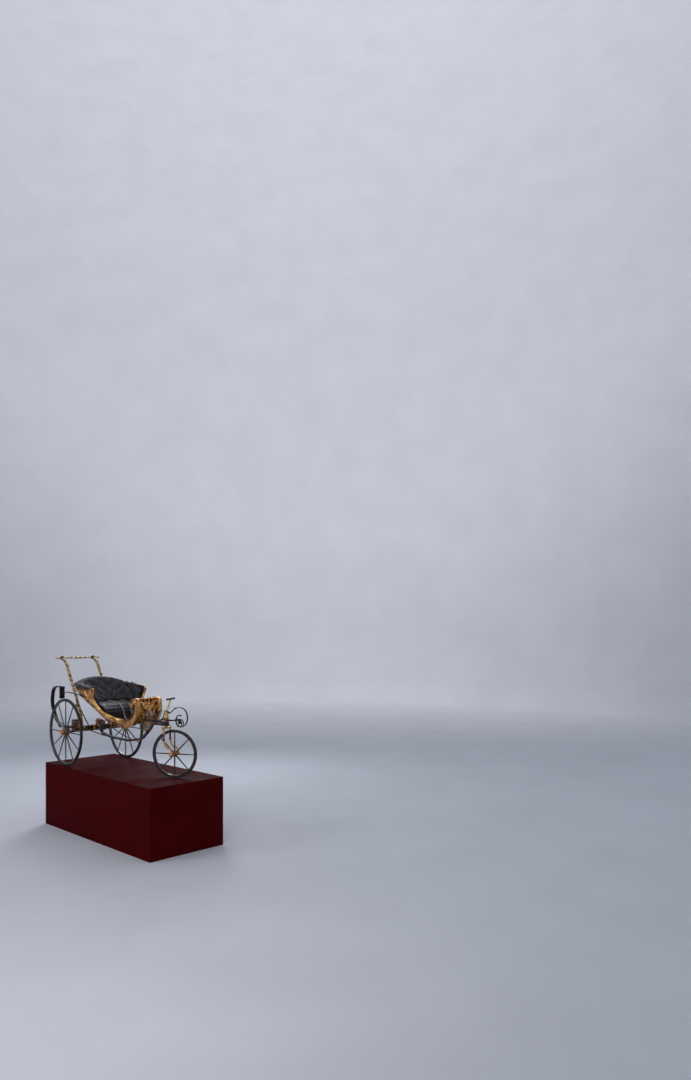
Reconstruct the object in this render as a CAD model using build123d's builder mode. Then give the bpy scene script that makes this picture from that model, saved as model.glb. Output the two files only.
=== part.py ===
from build123d import *
from collections import namedtuple
from math import cos, sin, radians
import os

os.makedirs("parts", exist_ok=True)

# Frame: millimetres, +X forward, +Y to the carriage's left, +Z up.
# The origin is the centre of the plinth's underside.

# Plinth: an open-bottomed box of boards that the carriage is shown on
plinth_length = 1650
plinth_width = 655
plinth_height = 530
plinth_board = 18

# Gaps: a wheel over the plinth, pieces laid against each other, a running fit
tyre_gap = 0.3
seat_gap = 0.3
running_gap = 0.3

# Rear wheels and axle
rear_axle_x = -548
rear_wheel_radius = 282
rear_wheel_y = 282
rear_spokes = 12
rear_hub_length = 62
rear_hub_radius = 25
axle_radius = 8

# Front wheel, steered
steer_x = 542
steer_angle = 27.6
front_trail = 69
front_wheel_radius = 188
front_spokes = 8
front_hub_length = 52
front_hub_radius = 18
front_spindle_radius = 6

# Gilt cap on each rear hub
hub_cap_radius = 19
hub_cap_rim = 2

# Wheel sections that all three wheels share
tyre_depth = 8
tyre_width = 20
felloe_depth = 15
felloe_width = 17
spoke_root_radius = 6
spoke_tip_radius = 4.2

# Body shell
wall = 11
lining_thickness = 38
moulding_width = 52
moulding_depth = 10
back_bow = 22
dash_bow = 24
corner_fillet = 26
wing_front_x = -150
crown_height = 744
crown_half = 300
corner_height = 651
roll_height = 30
roll_proud = 6
dash_top = 598
seat_bottom = 462
cushion_line = [(-372, 548), (-140, 520), (-102, 500)]
seat_board_thickness = 11

# Carriage frame
perch_width = 20
perch_lift = 19.3
perch_stay_y = 118
perch_depth = 17
perch_block_foot = 6
perch_block_rise = 76
perch_block_front_x = -432
perch_block_width = 40
bed_height = 42
bed_width = 38
bed_length = 300
block_y = 178
block_length = 74
block_width = 60
block_top = 384
stay_radius = 4.5
head_radius = 19
head_bottom = 401
head_top = 433
stem_radius = 7
bar_bottom = 420
bar_depth = 13
bar_back_x = 230
bar_back_half = 14
bar_front_half = 9
console_half = 17
column_bottom = 436
column_top = 512
crown_top = 395
fork_crown_depth = 13
fork_crown_length = 30
fork_half = 50
fork_leg = 14
fork_line = [(2, 386), (2, 300), (16, 246), (66, 230), (69, 192)]
tiller_length = 116
tiller_radius = 6
tiller_lean = 34
tiller_height = 612
post_radius = 7

# Springs and braces
spring_width = 30
spring_leaf = 9
spring_lift = 45.3
spring_y = block_y + block_length / 2 + spring_width / 2 + seat_gap
brace_width = 26
brace_thickness = 4
shackle_x = -721
shackle_length = 22
shackle_height = 100
shackle_cheek = 4
shackle_middle = 606
brace_y = spring_y - 10
cheek_back_x = 106
cheek_inner_y = 70
cheek_outer_y = 110
volute_width = 26
volute_eye_x = 253
volute_eye_height = 556
volute_eye_radius = 14
hoop_thickness = 8
hoop_width = 22
bracket_half = 8
strap_width = 20
strap_ring_radius = 18
strap_ring_bore = 11
strap_ring_thickness = 5

# Push handle
handle_y = 147
handle_top_x = -888
handle_top = 898
handle_length = 418
crossbar_radius = 5
knob_radius = 17
shaft_radius = 11
shaft_ball_x = -606
shaft_ball_height = 500
shaft_ball_swell = 1.55

deck = plinth_height
rear_axle_height = deck + rear_wheel_radius + tyre_gap
front_axle_height = deck + front_wheel_radius + tyre_gap
turn_cos = cos(radians(steer_angle))
turn_sin = sin(radians(steer_angle))


def side_plane(y):
    """Upright plane along the carriage at a distance y to its left."""
    return Plane(origin=(0, y, 0), x_dir=(1, 0, 0), z_dir=(0, -1, 0))


def turned_plane(y):
    """Upright plane along the turned front wheel, y to that wheel's left."""
    middle = (steer_x - y * turn_sin, y * turn_cos, 0)
    return Plane(origin=middle, x_dir=(turn_cos, turn_sin, 0), z_dir=(turn_sin, -turn_cos, 0))


def turned_deck(height):
    """Level plane at a height above the plinth, turned with the front wheel."""
    return Plane(origin=(steer_x, 0, deck + height), x_dir=(turn_cos, turn_sin, 0), z_dir=(0, 0, 1))


def leaf(plane, points, radii, thickness, width):
    """Flat bar of one thickness and width, bent on a rounded line in an upright plane."""
    with BuildPart() as bar:
        with BuildSketch(plane):
            with BuildLine():
                FilletPolyline(*[(x, deck + z) for x, z in points], radius=radii)
            trace(line_width=thickness)
        extrude(amount=width / 2, both=True)
    return bar.part


def rod(plane, points, radii, radius):
    """Round bar bent on a rounded line in an upright plane."""
    with BuildPart() as bar:
        with BuildLine(plane) as line:
            FilletPolyline(*[(x, deck + z) for x, z in points], radius=radii)
        with BuildSketch(Plane(origin=line.wire() @ 0, z_dir=line.wire() % 0)):
            Circle(radius)
        sweep()
    return bar.part


def save(part, name):
    part.label = name
    export_step(part, "parts/" + name + ".step")


# Plinth
with BuildPart() as plinth:
    with BuildSketch():
        Rectangle(plinth_length, plinth_width)
    extrude(amount=plinth_height)
    with BuildSketch():
        Rectangle(plinth_length - 2 * plinth_board, plinth_width - 2 * plinth_board)
    extrude(amount=plinth_height - plinth_board, mode=Mode.SUBTRACT)
    # A rib across the middle, under the top board, stands on the floor as the walls do
    with BuildSketch():
        Rectangle(plinth_board, plinth_width - plinth_board)
    extrude(amount=plinth_height - plinth_board / 2)
save(plinth.part, "plinth")

# Wheels: tyre, felloes, spokes and hub of each, turned about its own axle
Wheel = namedtuple("Wheel", "name radius spokes hub_length hub_radius bore centre outward")
front_centre = Vector(steer_x + front_trail * turn_cos, front_trail * turn_sin, front_axle_height)
wheels = [
    Wheel("rear_right", rear_wheel_radius, rear_spokes, rear_hub_length, rear_hub_radius,
          axle_radius, Vector(rear_axle_x, -rear_wheel_y, rear_axle_height), Vector(0, -1, 0)),
    Wheel("rear_left", rear_wheel_radius, rear_spokes, rear_hub_length, rear_hub_radius,
          axle_radius, Vector(rear_axle_x, rear_wheel_y, rear_axle_height), Vector(0, 1, 0)),
    Wheel("front", front_wheel_radius, front_spokes, front_hub_length, front_hub_radius,
          front_spindle_radius, front_centre, Vector(turn_sin, -turn_cos, 0)),
]
up = Vector(0, 0, 1)
for wheel in wheels:
    # In this plane x runs out along the axle and y is the distance from it
    radial = Plane(origin=wheel.centre, x_dir=wheel.outward, z_dir=wheel.outward.cross(up))
    axle_line = Axis(wheel.centre, wheel.outward)
    felloe_outer = wheel.radius - tyre_depth
    felloe_inner = felloe_outer - felloe_depth

    with BuildPart() as tyre:
        with BuildSketch(radial) as tyre_section:
            with Locations((0, wheel.radius - tyre_depth / 2)):
                Rectangle(tyre_width, tyre_depth)
            fillet(tyre_section.vertices().group_by(Axis.Z)[-1], tyre_depth * 0.4)
        revolve(axis=axle_line)
    save(tyre.part, wheel.name + "_tyre")

    with BuildPart() as felloes:
        with BuildSketch(radial) as felloe_section:
            with Locations((0, felloe_outer - felloe_depth / 2)):
                Rectangle(felloe_width, felloe_depth)
            chamfer(felloe_section.vertices().group_by(Axis.Z)[0], felloe_width / 5)
        revolve(axis=axle_line)
    save(felloes.part, wheel.name + "_felloes")

    # The hub barrel swells at the spokes and ends in a collar on each side
    half = wheel.hub_length / 2
    barrel = wheel.hub_radius
    bore = wheel.bore + running_gap
    with BuildPart() as hub:
        with BuildSketch(radial):
            with BuildLine():
                Line((-half, bore), (-half, barrel * 0.86))
                Line((-half, barrel * 0.86), (-half * 0.7, barrel * 0.86))
                Line((-half * 0.7, barrel * 0.86), (-half * 0.45, barrel))
                Line((-half * 0.45, barrel), (half * 0.45, barrel))
                Line((half * 0.45, barrel), (half * 0.7, barrel * 0.78))
                Line((half * 0.7, barrel * 0.78), (half, barrel * 0.78))
                Line((half, barrel * 0.78), (half, bore))
                Line((half, bore), (-half, bore))
            make_face()
        revolve(axis=axle_line)
    save(hub.part, wheel.name + "_hub")

    with BuildPart() as spokes:
        for number in range(wheel.spokes):
            ray = up.rotate(axle_line, 360 * number / wheel.spokes)
            with BuildSketch(Plane(origin=wheel.centre + ray * (barrel + seat_gap), z_dir=ray)):
                Circle(spoke_root_radius)
            with BuildSketch(Plane(origin=wheel.centre + ray * (felloe_inner - seat_gap), z_dir=ray)):
                Circle(spoke_tip_radius)
            loft()
    save(spokes.part, wheel.name + "_spokes")

# Rear axle with a turned end, and the domed gilt caps that keep the wheels on
with BuildPart() as rear_axle:
    with BuildSketch(side_plane(0)):
        with Locations((rear_axle_x, rear_axle_height)):
            Circle(axle_radius)
    extrude(amount=rear_wheel_y + rear_hub_length / 2 - 2, both=True)
save(rear_axle.part, "rear_axle")

for wheel in wheels[:2]:
    radial = Plane(origin=wheel.centre, x_dir=wheel.outward, z_dir=wheel.outward.cross(up))
    seat = wheel.hub_length / 2
    with BuildPart() as cap:
        with BuildSketch(radial):
            with BuildLine():
                Line((seat, 0), (seat, hub_cap_radius))
                Line((seat, hub_cap_radius), (seat + hub_cap_rim, hub_cap_radius))
                CenterArc((seat + hub_cap_rim, 0), hub_cap_radius, 90, -90)
                Line((seat + hub_cap_rim + hub_cap_radius, 0), (seat, 0))
            make_face()
        revolve(axis=Axis(wheel.centre, wheel.outward))
    save(cap.part, wheel.name + "_hub_cap")

# Axle bed across the carriage, cut over the axle, with a carved block at each end
bed_bottom = rear_axle_height - axle_radius * 0.2
with BuildPart() as axle_bed:
    with BuildSketch(side_plane(0)):
        with Locations((rear_axle_x, bed_bottom + bed_height / 2)):
            RectangleRounded(bed_width, bed_height, 6)
        with Locations((rear_axle_x, rear_axle_height)):
            Circle(axle_radius + seat_gap, mode=Mode.SUBTRACT)
    extrude(amount=bed_length / 2 - 2, both=True)
    for side in (-1, 1):
        with BuildSketch(side_plane(side * block_y)):
            with BuildLine():
                FilletPolyline((rear_axle_x - block_width / 2, bed_bottom),
                               (rear_axle_x - block_width / 2, deck + block_top - 18),
                               (rear_axle_x - block_width / 4, deck + block_top),
                               (rear_axle_x + block_width / 4, deck + block_top),
                               (rear_axle_x + block_width / 2, deck + block_top - 18),
                               (rear_axle_x + block_width / 2, bed_bottom), radius=5)
                Line((rear_axle_x + block_width / 2, bed_bottom),
                     (rear_axle_x - block_width / 2, bed_bottom))
            make_face()
            with Locations((rear_axle_x, rear_axle_height)):
                Circle(axle_radius + seat_gap, mode=Mode.SUBTRACT)
        extrude(amount=block_length / 2, both=True)
save(axle_bed.part, "axle_bed")

# Perch: a flat bar that dips under the body and rises over the front wheel
perch_start_x = rear_axle_x + bed_width / 2 + seat_gap
perch_height = bed_bottom - deck + perch_lift
perch_block_bottom = perch_height + perch_block_foot
perch_block_top = perch_height + perch_block_rise
perch_line = [(perch_start_x, perch_height), (-490, perch_height), (-440, 258), (-280, 236), (0, 236),
              (190, 268), (300, 352), (352, 404), (steer_x - head_radius - seat_gap, 409)]
perch_radii = [40, 40, 120, 160, 120, 90, 45]
save(leaf(side_plane(0), perch_line, perch_radii, perch_depth, perch_width), "perch")

# Two thin stays run from the bed to the perch, one each side
with BuildPart() as perch_stays:
    for side in (-1, 1):
        start = Vector(rear_axle_x + bed_width / 2 + stay_radius, side * perch_stay_y, deck + perch_height)
        middle = Vector(-300, side * 82, deck + 262)
        end = Vector(40, side * (perch_width / 2 + stay_radius + seat_gap), deck + 238)
        with BuildLine() as line:
            FilletPolyline(start, middle, end, radius=300)
        with BuildSketch(Plane(origin=line.wire() @ 0, z_dir=line.wire() % 0)):
            Circle(stay_radius)
        sweep()
save(perch_stays.part, "perch_stays")

# Carved block that stands on the perch in front of the bed
with BuildPart() as perch_block:
    with BuildSketch(side_plane(0)):
        with BuildLine():
            FilletPolyline((perch_start_x + seat_gap, deck + perch_block_bottom),
                           (perch_start_x + seat_gap, deck + perch_block_top - 12),
                           (perch_start_x + 24, deck + perch_block_top),
                           (perch_start_x + 66, deck + perch_block_top - 6),
                           (perch_block_front_x, deck + perch_block_top - 42),
                           (perch_block_front_x, deck + perch_block_bottom - 22), radius=6)
            Line((perch_block_front_x, deck + perch_block_bottom - 22),
                 (perch_start_x + seat_gap, deck + perch_block_bottom))
        make_face()
    extrude(amount=perch_block_width / 2, both=True)
    add(leaf(side_plane(0), perch_line, perch_radii, perch_depth + 2 * seat_gap, 2 * perch_block_width),
        mode=Mode.SUBTRACT)
save(sorted(perch_block.solids(), key=lambda solid: solid.center().Z)[-1], "perch_block")

# Steering head with its bore
head_face = steer_x - head_radius
steer_axis = Axis((steer_x, 0, 0), (0, 0, 1))
with BuildPart() as steering_head:
    with BuildSketch(side_plane(0)):
        with BuildLine():
            Polyline((steer_x + stem_radius + running_gap, deck + head_bottom),
                     (steer_x + head_radius, deck + head_bottom),
                     (steer_x + head_radius, deck + head_top),
                     (steer_x + stem_radius + running_gap, deck + head_top), close=True)
        make_face()
    revolve(axis=steer_axis)
save(steering_head.part, "steering_head")

# Body: plan sections from the bottom up, all heights above the plinth; swell is how
# far each side bows out at the middle of its length
Section = namedtuple("Section", "height back front back_half front_half swell")
body_sections = [
    Section(388, -15, 150, 84, 72, 8),
    Section(430, -128, 212, 136, 88, 22),
    Section(482, -246, 252, 172, 95, 36),
    Section(548, -352, 264, 204, 98, 52),
    Section(615, -438, 260, 225, 99, 66),
    Section(685, -508, 240, 234, 99, 76),
    Section(770, -580, 206, 236, 99, 80),
]
section_lift = 6
back_lean = 1.35


def body_hull(inset):
    """The body's outside drawn in by an inset, or let out by a negative one."""
    with BuildPart() as hull:
        for number, row in enumerate(body_sections):
            lift = 0
            if number == 0:
                lift = inset
            if number == len(body_sections) - 1:
                lift = section_lift
            back = row.back + inset * back_lean
            front = row.front - inset
            back_half = row.back_half - inset
            front_half = row.front_half - inset
            middle = (back + front) / 2
            middle_half = (back_half + front_half) / 2 + row.swell
            with BuildSketch(Plane.XY.offset(deck + row.height + lift)) as section:
                with BuildLine():
                    ThreePointArc((back, back_half), (middle, middle_half), (front, front_half))
                    ThreePointArc((front, front_half), (front + dash_bow, 0), (front, -front_half))
                    ThreePointArc((front, -front_half), (middle, -middle_half), (back, -back_half))
                    ThreePointArc((back, -back_half), (back - back_bow, 0), (back, back_half))
                make_face()
                fillet(section.vertices(), corner_fillet)
        loft()
    return hull.part


# The side edge in side view: wing, low step-in and the rise to the dash
sky = 900
rim_line = [(wing_front_x, sky), (wing_front_x - 6, 668), (-182, 575), (-118, 450), (50, 412), (176, 430),
            (236, 500), (240, dash_top), (700, dash_top)]
rim_radii = [24, 70, 90, 110, 70, 50, 6]

with BuildPart() as rim_cutter:
    with BuildSketch(side_plane(0)):
        with BuildLine():
            FilletPolyline(*[(x, deck + z) for x, z in rim_line], radius=rim_radii)
            Line((700, deck + dash_top), (700, deck + sky))
            Line((700, deck + sky), (wing_front_x, deck + sky))
        make_face()
    extrude(amount=400, both=True)


def above_crown(drop):
    """The space over the arched top edge of the back, lowered by a drop."""
    edge_z = corner_height - drop
    with BuildPart() as space:
        with BuildSketch(Plane(origin=(-400, 0, deck), x_dir=(0, 1, 0), z_dir=(1, 0, 0))):
            with BuildLine():
                ThreePointArc((-crown_half, edge_z), (0, crown_height - drop), (crown_half, edge_z))
                Polyline((crown_half, edge_z), (crown_half, sky), (-crown_half, sky), (-crown_half, edge_z))
            make_face()
        extrude(amount=300, both=True)
    return space.part


body_clear = body_hull(-seat_gap)
over_shell = above_crown(roll_height)
with BuildPart() as body_shell:
    add(body_hull(0))
    add(body_hull(wall), mode=Mode.SUBTRACT)
    add(rim_cutter.part, mode=Mode.SUBTRACT)
    add(over_shell, mode=Mode.SUBTRACT)
save(body_shell.part, "body_shell")

# Upper bar from the body's front to the head
with BuildPart() as front_bar:
    with BuildSketch(Plane.XY.offset(deck + bar_bottom)):
        with BuildLine():
            Polyline((bar_back_x, -bar_back_half), (head_face - seat_gap, -bar_front_half),
                     (head_face - seat_gap, bar_front_half), (bar_back_x, bar_back_half), close=True)
        make_face()
    extrude(amount=bar_depth)
    add(body_clear, mode=Mode.SUBTRACT)
save(front_bar.part, "front_bar")

with BuildPart() as bar_clear:
    with BuildSketch(Plane.XY.offset(deck + bar_bottom - seat_gap)):
        with Locations((400, 0)):
            Rectangle(400, 40)
    extrude(amount=60)
with BuildPart() as perch_clear:
    add(leaf(side_plane(0), perch_line, perch_radii, perch_depth + 2 * seat_gap, 60))

# Carved console that carries the body's front on the perch
console_line = [(186, 440), (170, 382), (200, 338), (262, 326), (322, 366), (306, 440)]
with BuildPart() as front_console:
    with BuildSketch(side_plane(0)):
        with BuildLine():
            FilletPolyline(*[(x, deck + z) for x, z in console_line], radius=12)
            Line((console_line[-1][0], deck + console_line[-1][1]),
                 (console_line[0][0], deck + console_line[0][1]))
        make_face()
    extrude(amount=console_half, both=True)
    add(body_clear, mode=Mode.SUBTRACT)
    add(perch_clear.part, mode=Mode.SUBTRACT)
    add(bar_clear.part, mode=Mode.SUBTRACT)
save(front_console.part, "front_console")

# Gilt moulding along each side under the opening's edge, laid on the outside of the shell
band_line = [(-176, 700), (-182, 660), (-206, 572), (-134, 430), (50, 387), (cheek_back_x, 387)]
band_radii = [40, 80, 110, 150]
body_proud = body_hull(-moulding_depth)
for side, name in ((-1, "right"), (1, "left")):
    with BuildPart() as moulding:
        with BuildSketch(side_plane(0)):
            with BuildLine():
                FilletPolyline(*[(x, deck + z) for x, z in band_line], radius=band_radii)
            trace(line_width=moulding_width)
        extrude(amount=side * -400)
        add(body_proud, mode=Mode.INTERSECT)
        add(body_clear, mode=Mode.SUBTRACT)
        add(over_shell, mode=Mode.SUBTRACT)
    save(sorted(moulding.solids(), key=lambda solid: solid.volume)[-1], "rim_moulding_" + name)

# Cheek that carries each moulding on, past the body's front, and curls into a volute
cheek_line = [(cheek_back_x + seat_gap, 387), (180, 387), (278, 466), (284, 520)]
volute_line = [(284, 500), (286, 587), (228, 589), (220, 548), (248, 540)]
cheek_depth = cheek_outer_y - cheek_inner_y
for side, name in ((-1, "right"), (1, "left")):
    cheek_plane = side_plane(side * (cheek_inner_y + cheek_outer_y) / 2)
    with BuildPart() as cheek:
        with BuildSketch(cheek_plane):
            with BuildLine():
                FilletPolyline(*[(x, deck + z) for x, z in cheek_line], radius=[90, 50])
            trace(line_width=moulding_width)
            with BuildLine():
                FilletPolyline(*[(x, deck + z) for x, z in volute_line], radius=[32, 26, 15])
            trace(line_width=volute_width)
            with Locations((volute_eye_x, deck + volute_eye_height)):
                Circle(volute_eye_radius)
        extrude(amount=cheek_depth / 2, both=True)
        add(body_clear, mode=Mode.SUBTRACT)
    save(sorted(cheek.solids(), key=lambda solid: solid.volume)[-1], "front_scroll_" + name)

# Leather lining round the back and wings, with a roll along its top over the shell's edge
pad_gap = 1.0
lining_front_x = wing_front_x - 32
lining_bottom = [(-700, 560), (-372, 552), (-140, 524), (400, 494)]
with BuildPart() as back_squab:
    add(body_hull(wall + pad_gap))
    add(body_hull(wall + pad_gap + lining_thickness), mode=Mode.SUBTRACT)
    add(above_crown(roll_height - seat_gap), mode=Mode.SUBTRACT)
    with BuildPart(mode=Mode.PRIVATE) as roll:
        add(body_hull(-roll_proud))
        add(body_hull(wall + pad_gap + lining_thickness), mode=Mode.SUBTRACT)
        add(above_crown(roll_height - seat_gap), mode=Mode.INTERSECT)
        add(above_crown(0), mode=Mode.SUBTRACT)
    add(roll.part)
    with BuildSketch(side_plane(0)):
        with BuildLine():
            Polyline((lining_front_x, deck + sky), (lining_front_x, deck + 300), (700, deck + 300),
                     (700, deck + sky), close=True)
        make_face()
        with BuildLine():
            Polyline(*[(x, deck + z) for x, z in lining_bottom], (400, deck + 300), (-700, deck + 300),
                     close=True)
        make_face()
    extrude(amount=400, both=True, mode=Mode.SUBTRACT)
save(back_squab.part, "back_squab")

with BuildPart() as seat_cushion:
    add(body_hull(wall + pad_gap * 2))
    with BuildSketch(side_plane(0)):
        with BuildLine():
            FilletPolyline((cushion_line[0][0], deck + seat_bottom),
                           *[(x, deck + z) for x, z in cushion_line],
                           (cushion_line[-1][0], deck + seat_bottom), radius=[14, 30, 12])
            Line((cushion_line[-1][0], deck + seat_bottom), (cushion_line[0][0], deck + seat_bottom))
        make_face()
    extrude(amount=400, both=True, mode=Mode.INTERSECT)
save(seat_cushion.part, "seat_cushion")

seat_line = deck + seat_bottom - seat_gap
board_front_x = cushion_line[-1][0] - 8
board_drop = deck + 380
with BuildPart() as seat_board:
    add(body_hull(wall + seat_gap))
    with BuildSketch(side_plane(0)):
        with BuildLine():
            Polyline((-500, seat_line), (board_front_x, seat_line), (board_front_x, board_drop),
                     (board_front_x - seat_board_thickness, board_drop),
                     (board_front_x - seat_board_thickness, seat_line - seat_board_thickness),
                     (-500, seat_line - seat_board_thickness), close=True)
        make_face()
    extrude(amount=400, both=True, mode=Mode.INTERSECT)
save(seat_board.part, "seat_board")

# Rear springs: a leaf that leaves the block, sweeps back and curls over forwards
spring_line = [(rear_axle_x + 20, bed_bottom - deck + spring_lift), (-690, 314), (-818, 352),
               (-910, 500), (-880, 642), (-780, 656), (-712, 652)]
spring_radii = [90, 120, 140, 76, 60]
for side, name in ((-1, "right"), (1, "left")):
    save(leaf(side_plane(side * spring_y), spring_line, spring_radii, spring_leaf, spring_width),
         "rear_spring_" + name)

# Shackle block that hangs on each rear spring's end and holds the brace
for side, name in ((-1, "right"), (1, "left")):
    with BuildPart() as shackle:
        with BuildSketch(side_plane(side * spring_y)):
            with Locations((shackle_x, deck + shackle_middle)):
                RectangleRounded(shackle_length, shackle_height, 6)
        extrude(amount=spring_width / 2 + shackle_cheek, both=True)
        with BuildSketch(side_plane(side * spring_y)):
            with BuildLine():
                FilletPolyline(*[(x, deck + z) for x, z in spring_line], radius=spring_radii)
            trace(line_width=spring_leaf + 2 * seat_gap)
        extrude(amount=(spring_width + 2 * seat_gap) / 2, both=True, mode=Mode.SUBTRACT)
    save(shackle.part, "spring_shackle_" + name)

# Leather braces from the shackles to the body's back
brace_line = [(shackle_x + shackle_length / 2 + seat_gap, 600), (-640, 612), (-540, 606), (-390, 596)]
for side, name in ((-1, "right"), (1, "left")):
    with BuildPart() as brace:
        add(leaf(side_plane(side * brace_y), brace_line, [60, 60], brace_thickness, brace_width))
        add(body_clear, mode=Mode.SUBTRACT)
    save(brace.part, "rear_brace_" + name)

# Push handle: two curved shafts with a ball on each, and the turned crossbar
shaft_line = [(handle_top_x + 3.3, handle_top - 1.2), (-804, 852), (-768, 784), (-706, 688), (-624, 566),
              (shaft_ball_x, shaft_ball_height), (rear_axle_x, 446), (rear_axle_x, block_top + seat_gap)]
shaft_radii = [50, 160, 220, 120, 50, 46]


def push_shaft(side, radius):
    """Round shaft of a radius on the handle's line, on one side."""
    with BuildPart() as shaft:
        with BuildLine(side_plane(side * handle_y)) as line:
            FilletPolyline(*[(x, deck + z) for x, z in shaft_line], radius=shaft_radii)
        with BuildSketch(Plane(origin=line.wire() @ 0, z_dir=line.wire() % 0)):
            Circle(radius)
        sweep()
        with Locations((shaft_ball_x, side * handle_y, deck + shaft_ball_height)):
            Sphere(radius * shaft_ball_swell)
        with Locations((handle_top_x, side * handle_y, deck + handle_top)):
            Sphere(knob_radius + seat_gap, mode=Mode.SUBTRACT)
    return shaft.part


for side, name in ((-1, "right"), (1, "left")):
    save(push_shaft(side, shaft_radius), "handle_shaft_" + name)

# Iron stay from each shaft, bowed inwards and down to the top of the axle bed
bed_top = bed_bottom + bed_height
stay_foot_y = 72
with BuildPart() as handle_stays:
    for side in (-1, 1):
        start = Vector(-614, side * handle_y, deck + 552)
        middle = Vector(-570, side * 122, deck + 430)
        end = Vector(rear_axle_x, side * stay_foot_y, bed_top - 6)
        with BuildLine() as line:
            FilletPolyline(start, middle, end, radius=300)
        with BuildSketch(Plane(origin=line.wire() @ 0, z_dir=line.wire() % 0)):
            Circle(stay_radius)
        sweep()
        add(push_shaft(side, shaft_radius + seat_gap), mode=Mode.SUBTRACT)
        with BuildSketch(Plane.XY.offset(bed_top + seat_gap)):
            with Locations((rear_axle_x, side * stay_foot_y)):
                Rectangle(60, 60)
        extrude(amount=-30, mode=Mode.SUBTRACT)
stay_rods = sorted(handle_stays.solids(), key=lambda solid: solid.volume)[-2:]
save(Part(children=stay_rods), "handle_stays")

# Beads along the crossbar: distance from its middle, and radius
bead_table = [(0, 12), (-22, 9), (22, 9), (-40, 7.5), (40, 7.5), (-96, 8), (96, 8),
              (-handle_y, knob_radius), (handle_y, knob_radius), (-180, 9), (180, 9), (-198, 8), (198, 8)]
with BuildPart() as handle_crossbar:
    with BuildSketch(side_plane(0)):
        with Locations((handle_top_x, deck + handle_top)):
            Circle(crossbar_radius)
    extrude(amount=handle_length / 2, both=True)
    for bead_y, bead_radius in bead_table:
        with Locations((handle_top_x, bead_y, deck + handle_top)):
            Sphere(bead_radius)
save(handle_crossbar.part, "handle_crossbar")

# Steering: stem through the head, fork crown below it, turned column above it
stem_foot = deck + crown_top - fork_crown_depth
stem_top = deck + column_bottom - seat_gap
with BuildPart() as fork:
    with BuildSketch(turned_plane(0)):
        with BuildLine():
            Polyline((0, stem_foot), (stem_radius, stem_foot), (stem_radius, stem_top),
                     (0, stem_top), close=True)
        make_face()
    revolve(axis=steer_axis)
    with BuildSketch(turned_deck(crown_top - fork_crown_depth)):
        RectangleRounded(fork_crown_length, 2 * fork_half + fork_leg, 8)
    extrude(amount=fork_crown_depth)
    for side in (-1, 1):
        add(rod(turned_plane(side * fork_half), fork_line, [40, 30, 26], fork_leg / 2))
        with BuildSketch(turned_plane(side * fork_half)):
            with Locations((front_trail, front_axle_height)):
                Circle(fork_leg * 0.9)
        extrude(amount=fork_leg / 2, both=True)
    with BuildSketch(turned_plane(0)):
        with Locations((front_trail, front_axle_height)):
            Circle(front_spindle_radius)
    extrude(amount=fork_half + fork_leg, both=True)
save(fork.part, "fork")

# The turned column: its outline is radius and height, bead by bead
with BuildPart() as steering_column:
    with BuildSketch(turned_plane(0)):
        with BuildLine():
            Polyline((0, deck + column_bottom), (11, deck + column_bottom), (11, deck + 438))
            ThreePointArc((11, deck + 438), (18, deck + 450), (11, deck + 462))
            ThreePointArc((11, deck + 462), (16, deck + 473), (11, deck + 484))
            Polyline((11, deck + 484), (15, deck + 498), (15, deck + column_top), (0, deck + column_top),
                     (0, deck + column_bottom))
        make_face()
    revolve(axis=steer_axis)
save(steering_column.part, "steering_column")

# Tiller: a post that leans forwards out of the column, and its cross handle
post_foot = turned_plane(0).from_local_coords(Vector(0, deck + column_top + seat_gap, 0))
post_head = turned_plane(0).from_local_coords(Vector(tiller_lean, deck + tiller_height, 0))
with BuildPart() as tiller_handle:
    with BuildSketch(Plane(origin=post_foot, z_dir=post_head - post_foot)):
        Circle(post_radius)
    with BuildSketch(Plane(origin=post_head, z_dir=post_head - post_foot)):
        Circle(post_radius * 0.8)
    loft()
    with BuildSketch(turned_plane(0)):
        with Locations((tiller_lean, deck + tiller_height)):
            Circle(tiller_radius)
    extrude(amount=tiller_length / 2, both=True)
    with Locations(post_head):
        Sphere(tiller_radius * 1.5)
    with BuildSketch(turned_deck(column_top + seat_gap - 20)):
        Circle(20)
    extrude(amount=20, mode=Mode.SUBTRACT)
save(tiller_handle.part, "tiller_handle")

# Scrolled front spring on the column, its bracket and the link below
hoop_line = [(15 + seat_gap, 504), (34, 504), (68, 534), (140, 536), (178, 466), (140, 398),
             (92, 404), (76, 446), (100, 482), (118, 500)]
save(leaf(turned_plane(0), hoop_line, [14, 30, 46, 52, 46, 28, 26, 20],
          hoop_thickness, hoop_width), "front_spring")

with BuildPart() as spring_bracket:
    with BuildSketch(turned_plane(0)):
        with BuildLine():
            Polyline((18 + seat_gap, deck + 455), (72 - seat_gap, deck + 452), (72 - seat_gap, deck + 442),
                     (17 + seat_gap, deck + 438), close=True)
        make_face()
    extrude(amount=bracket_half, both=True)
save(spring_bracket.part, "spring_bracket")

# Front brace: a leather strap from the body's front to a ring that rests on the column
ring_bottom = column_top + seat_gap
ring_middle = ring_bottom + strap_ring_thickness / 2
front_brace_line = [(270, 437), (400, 450), (440, ring_middle), (steer_x - 12, ring_middle)]
with BuildPart() as front_brace:
    add(leaf(side_plane(0), front_brace_line, [40, 30], brace_thickness, strap_width))
    with BuildSketch(Plane.XY.offset(deck + ring_bottom)):
        with Locations((steer_x, 0)):
            Circle(strap_ring_radius)
    extrude(amount=strap_ring_thickness)
    with BuildSketch(Plane.XY.offset(deck + ring_bottom - 10)):
        with Locations((steer_x, 0)):
            Circle(strap_ring_bore)
    extrude(amount=30, mode=Mode.SUBTRACT)
    add(body_clear, mode=Mode.SUBTRACT)
save(front_brace.part, "front_brace")
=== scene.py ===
import bpy
import bmesh
import math
from mathutils import Matrix, Vector
from mathutils.bvhtree import BVHTree


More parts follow.
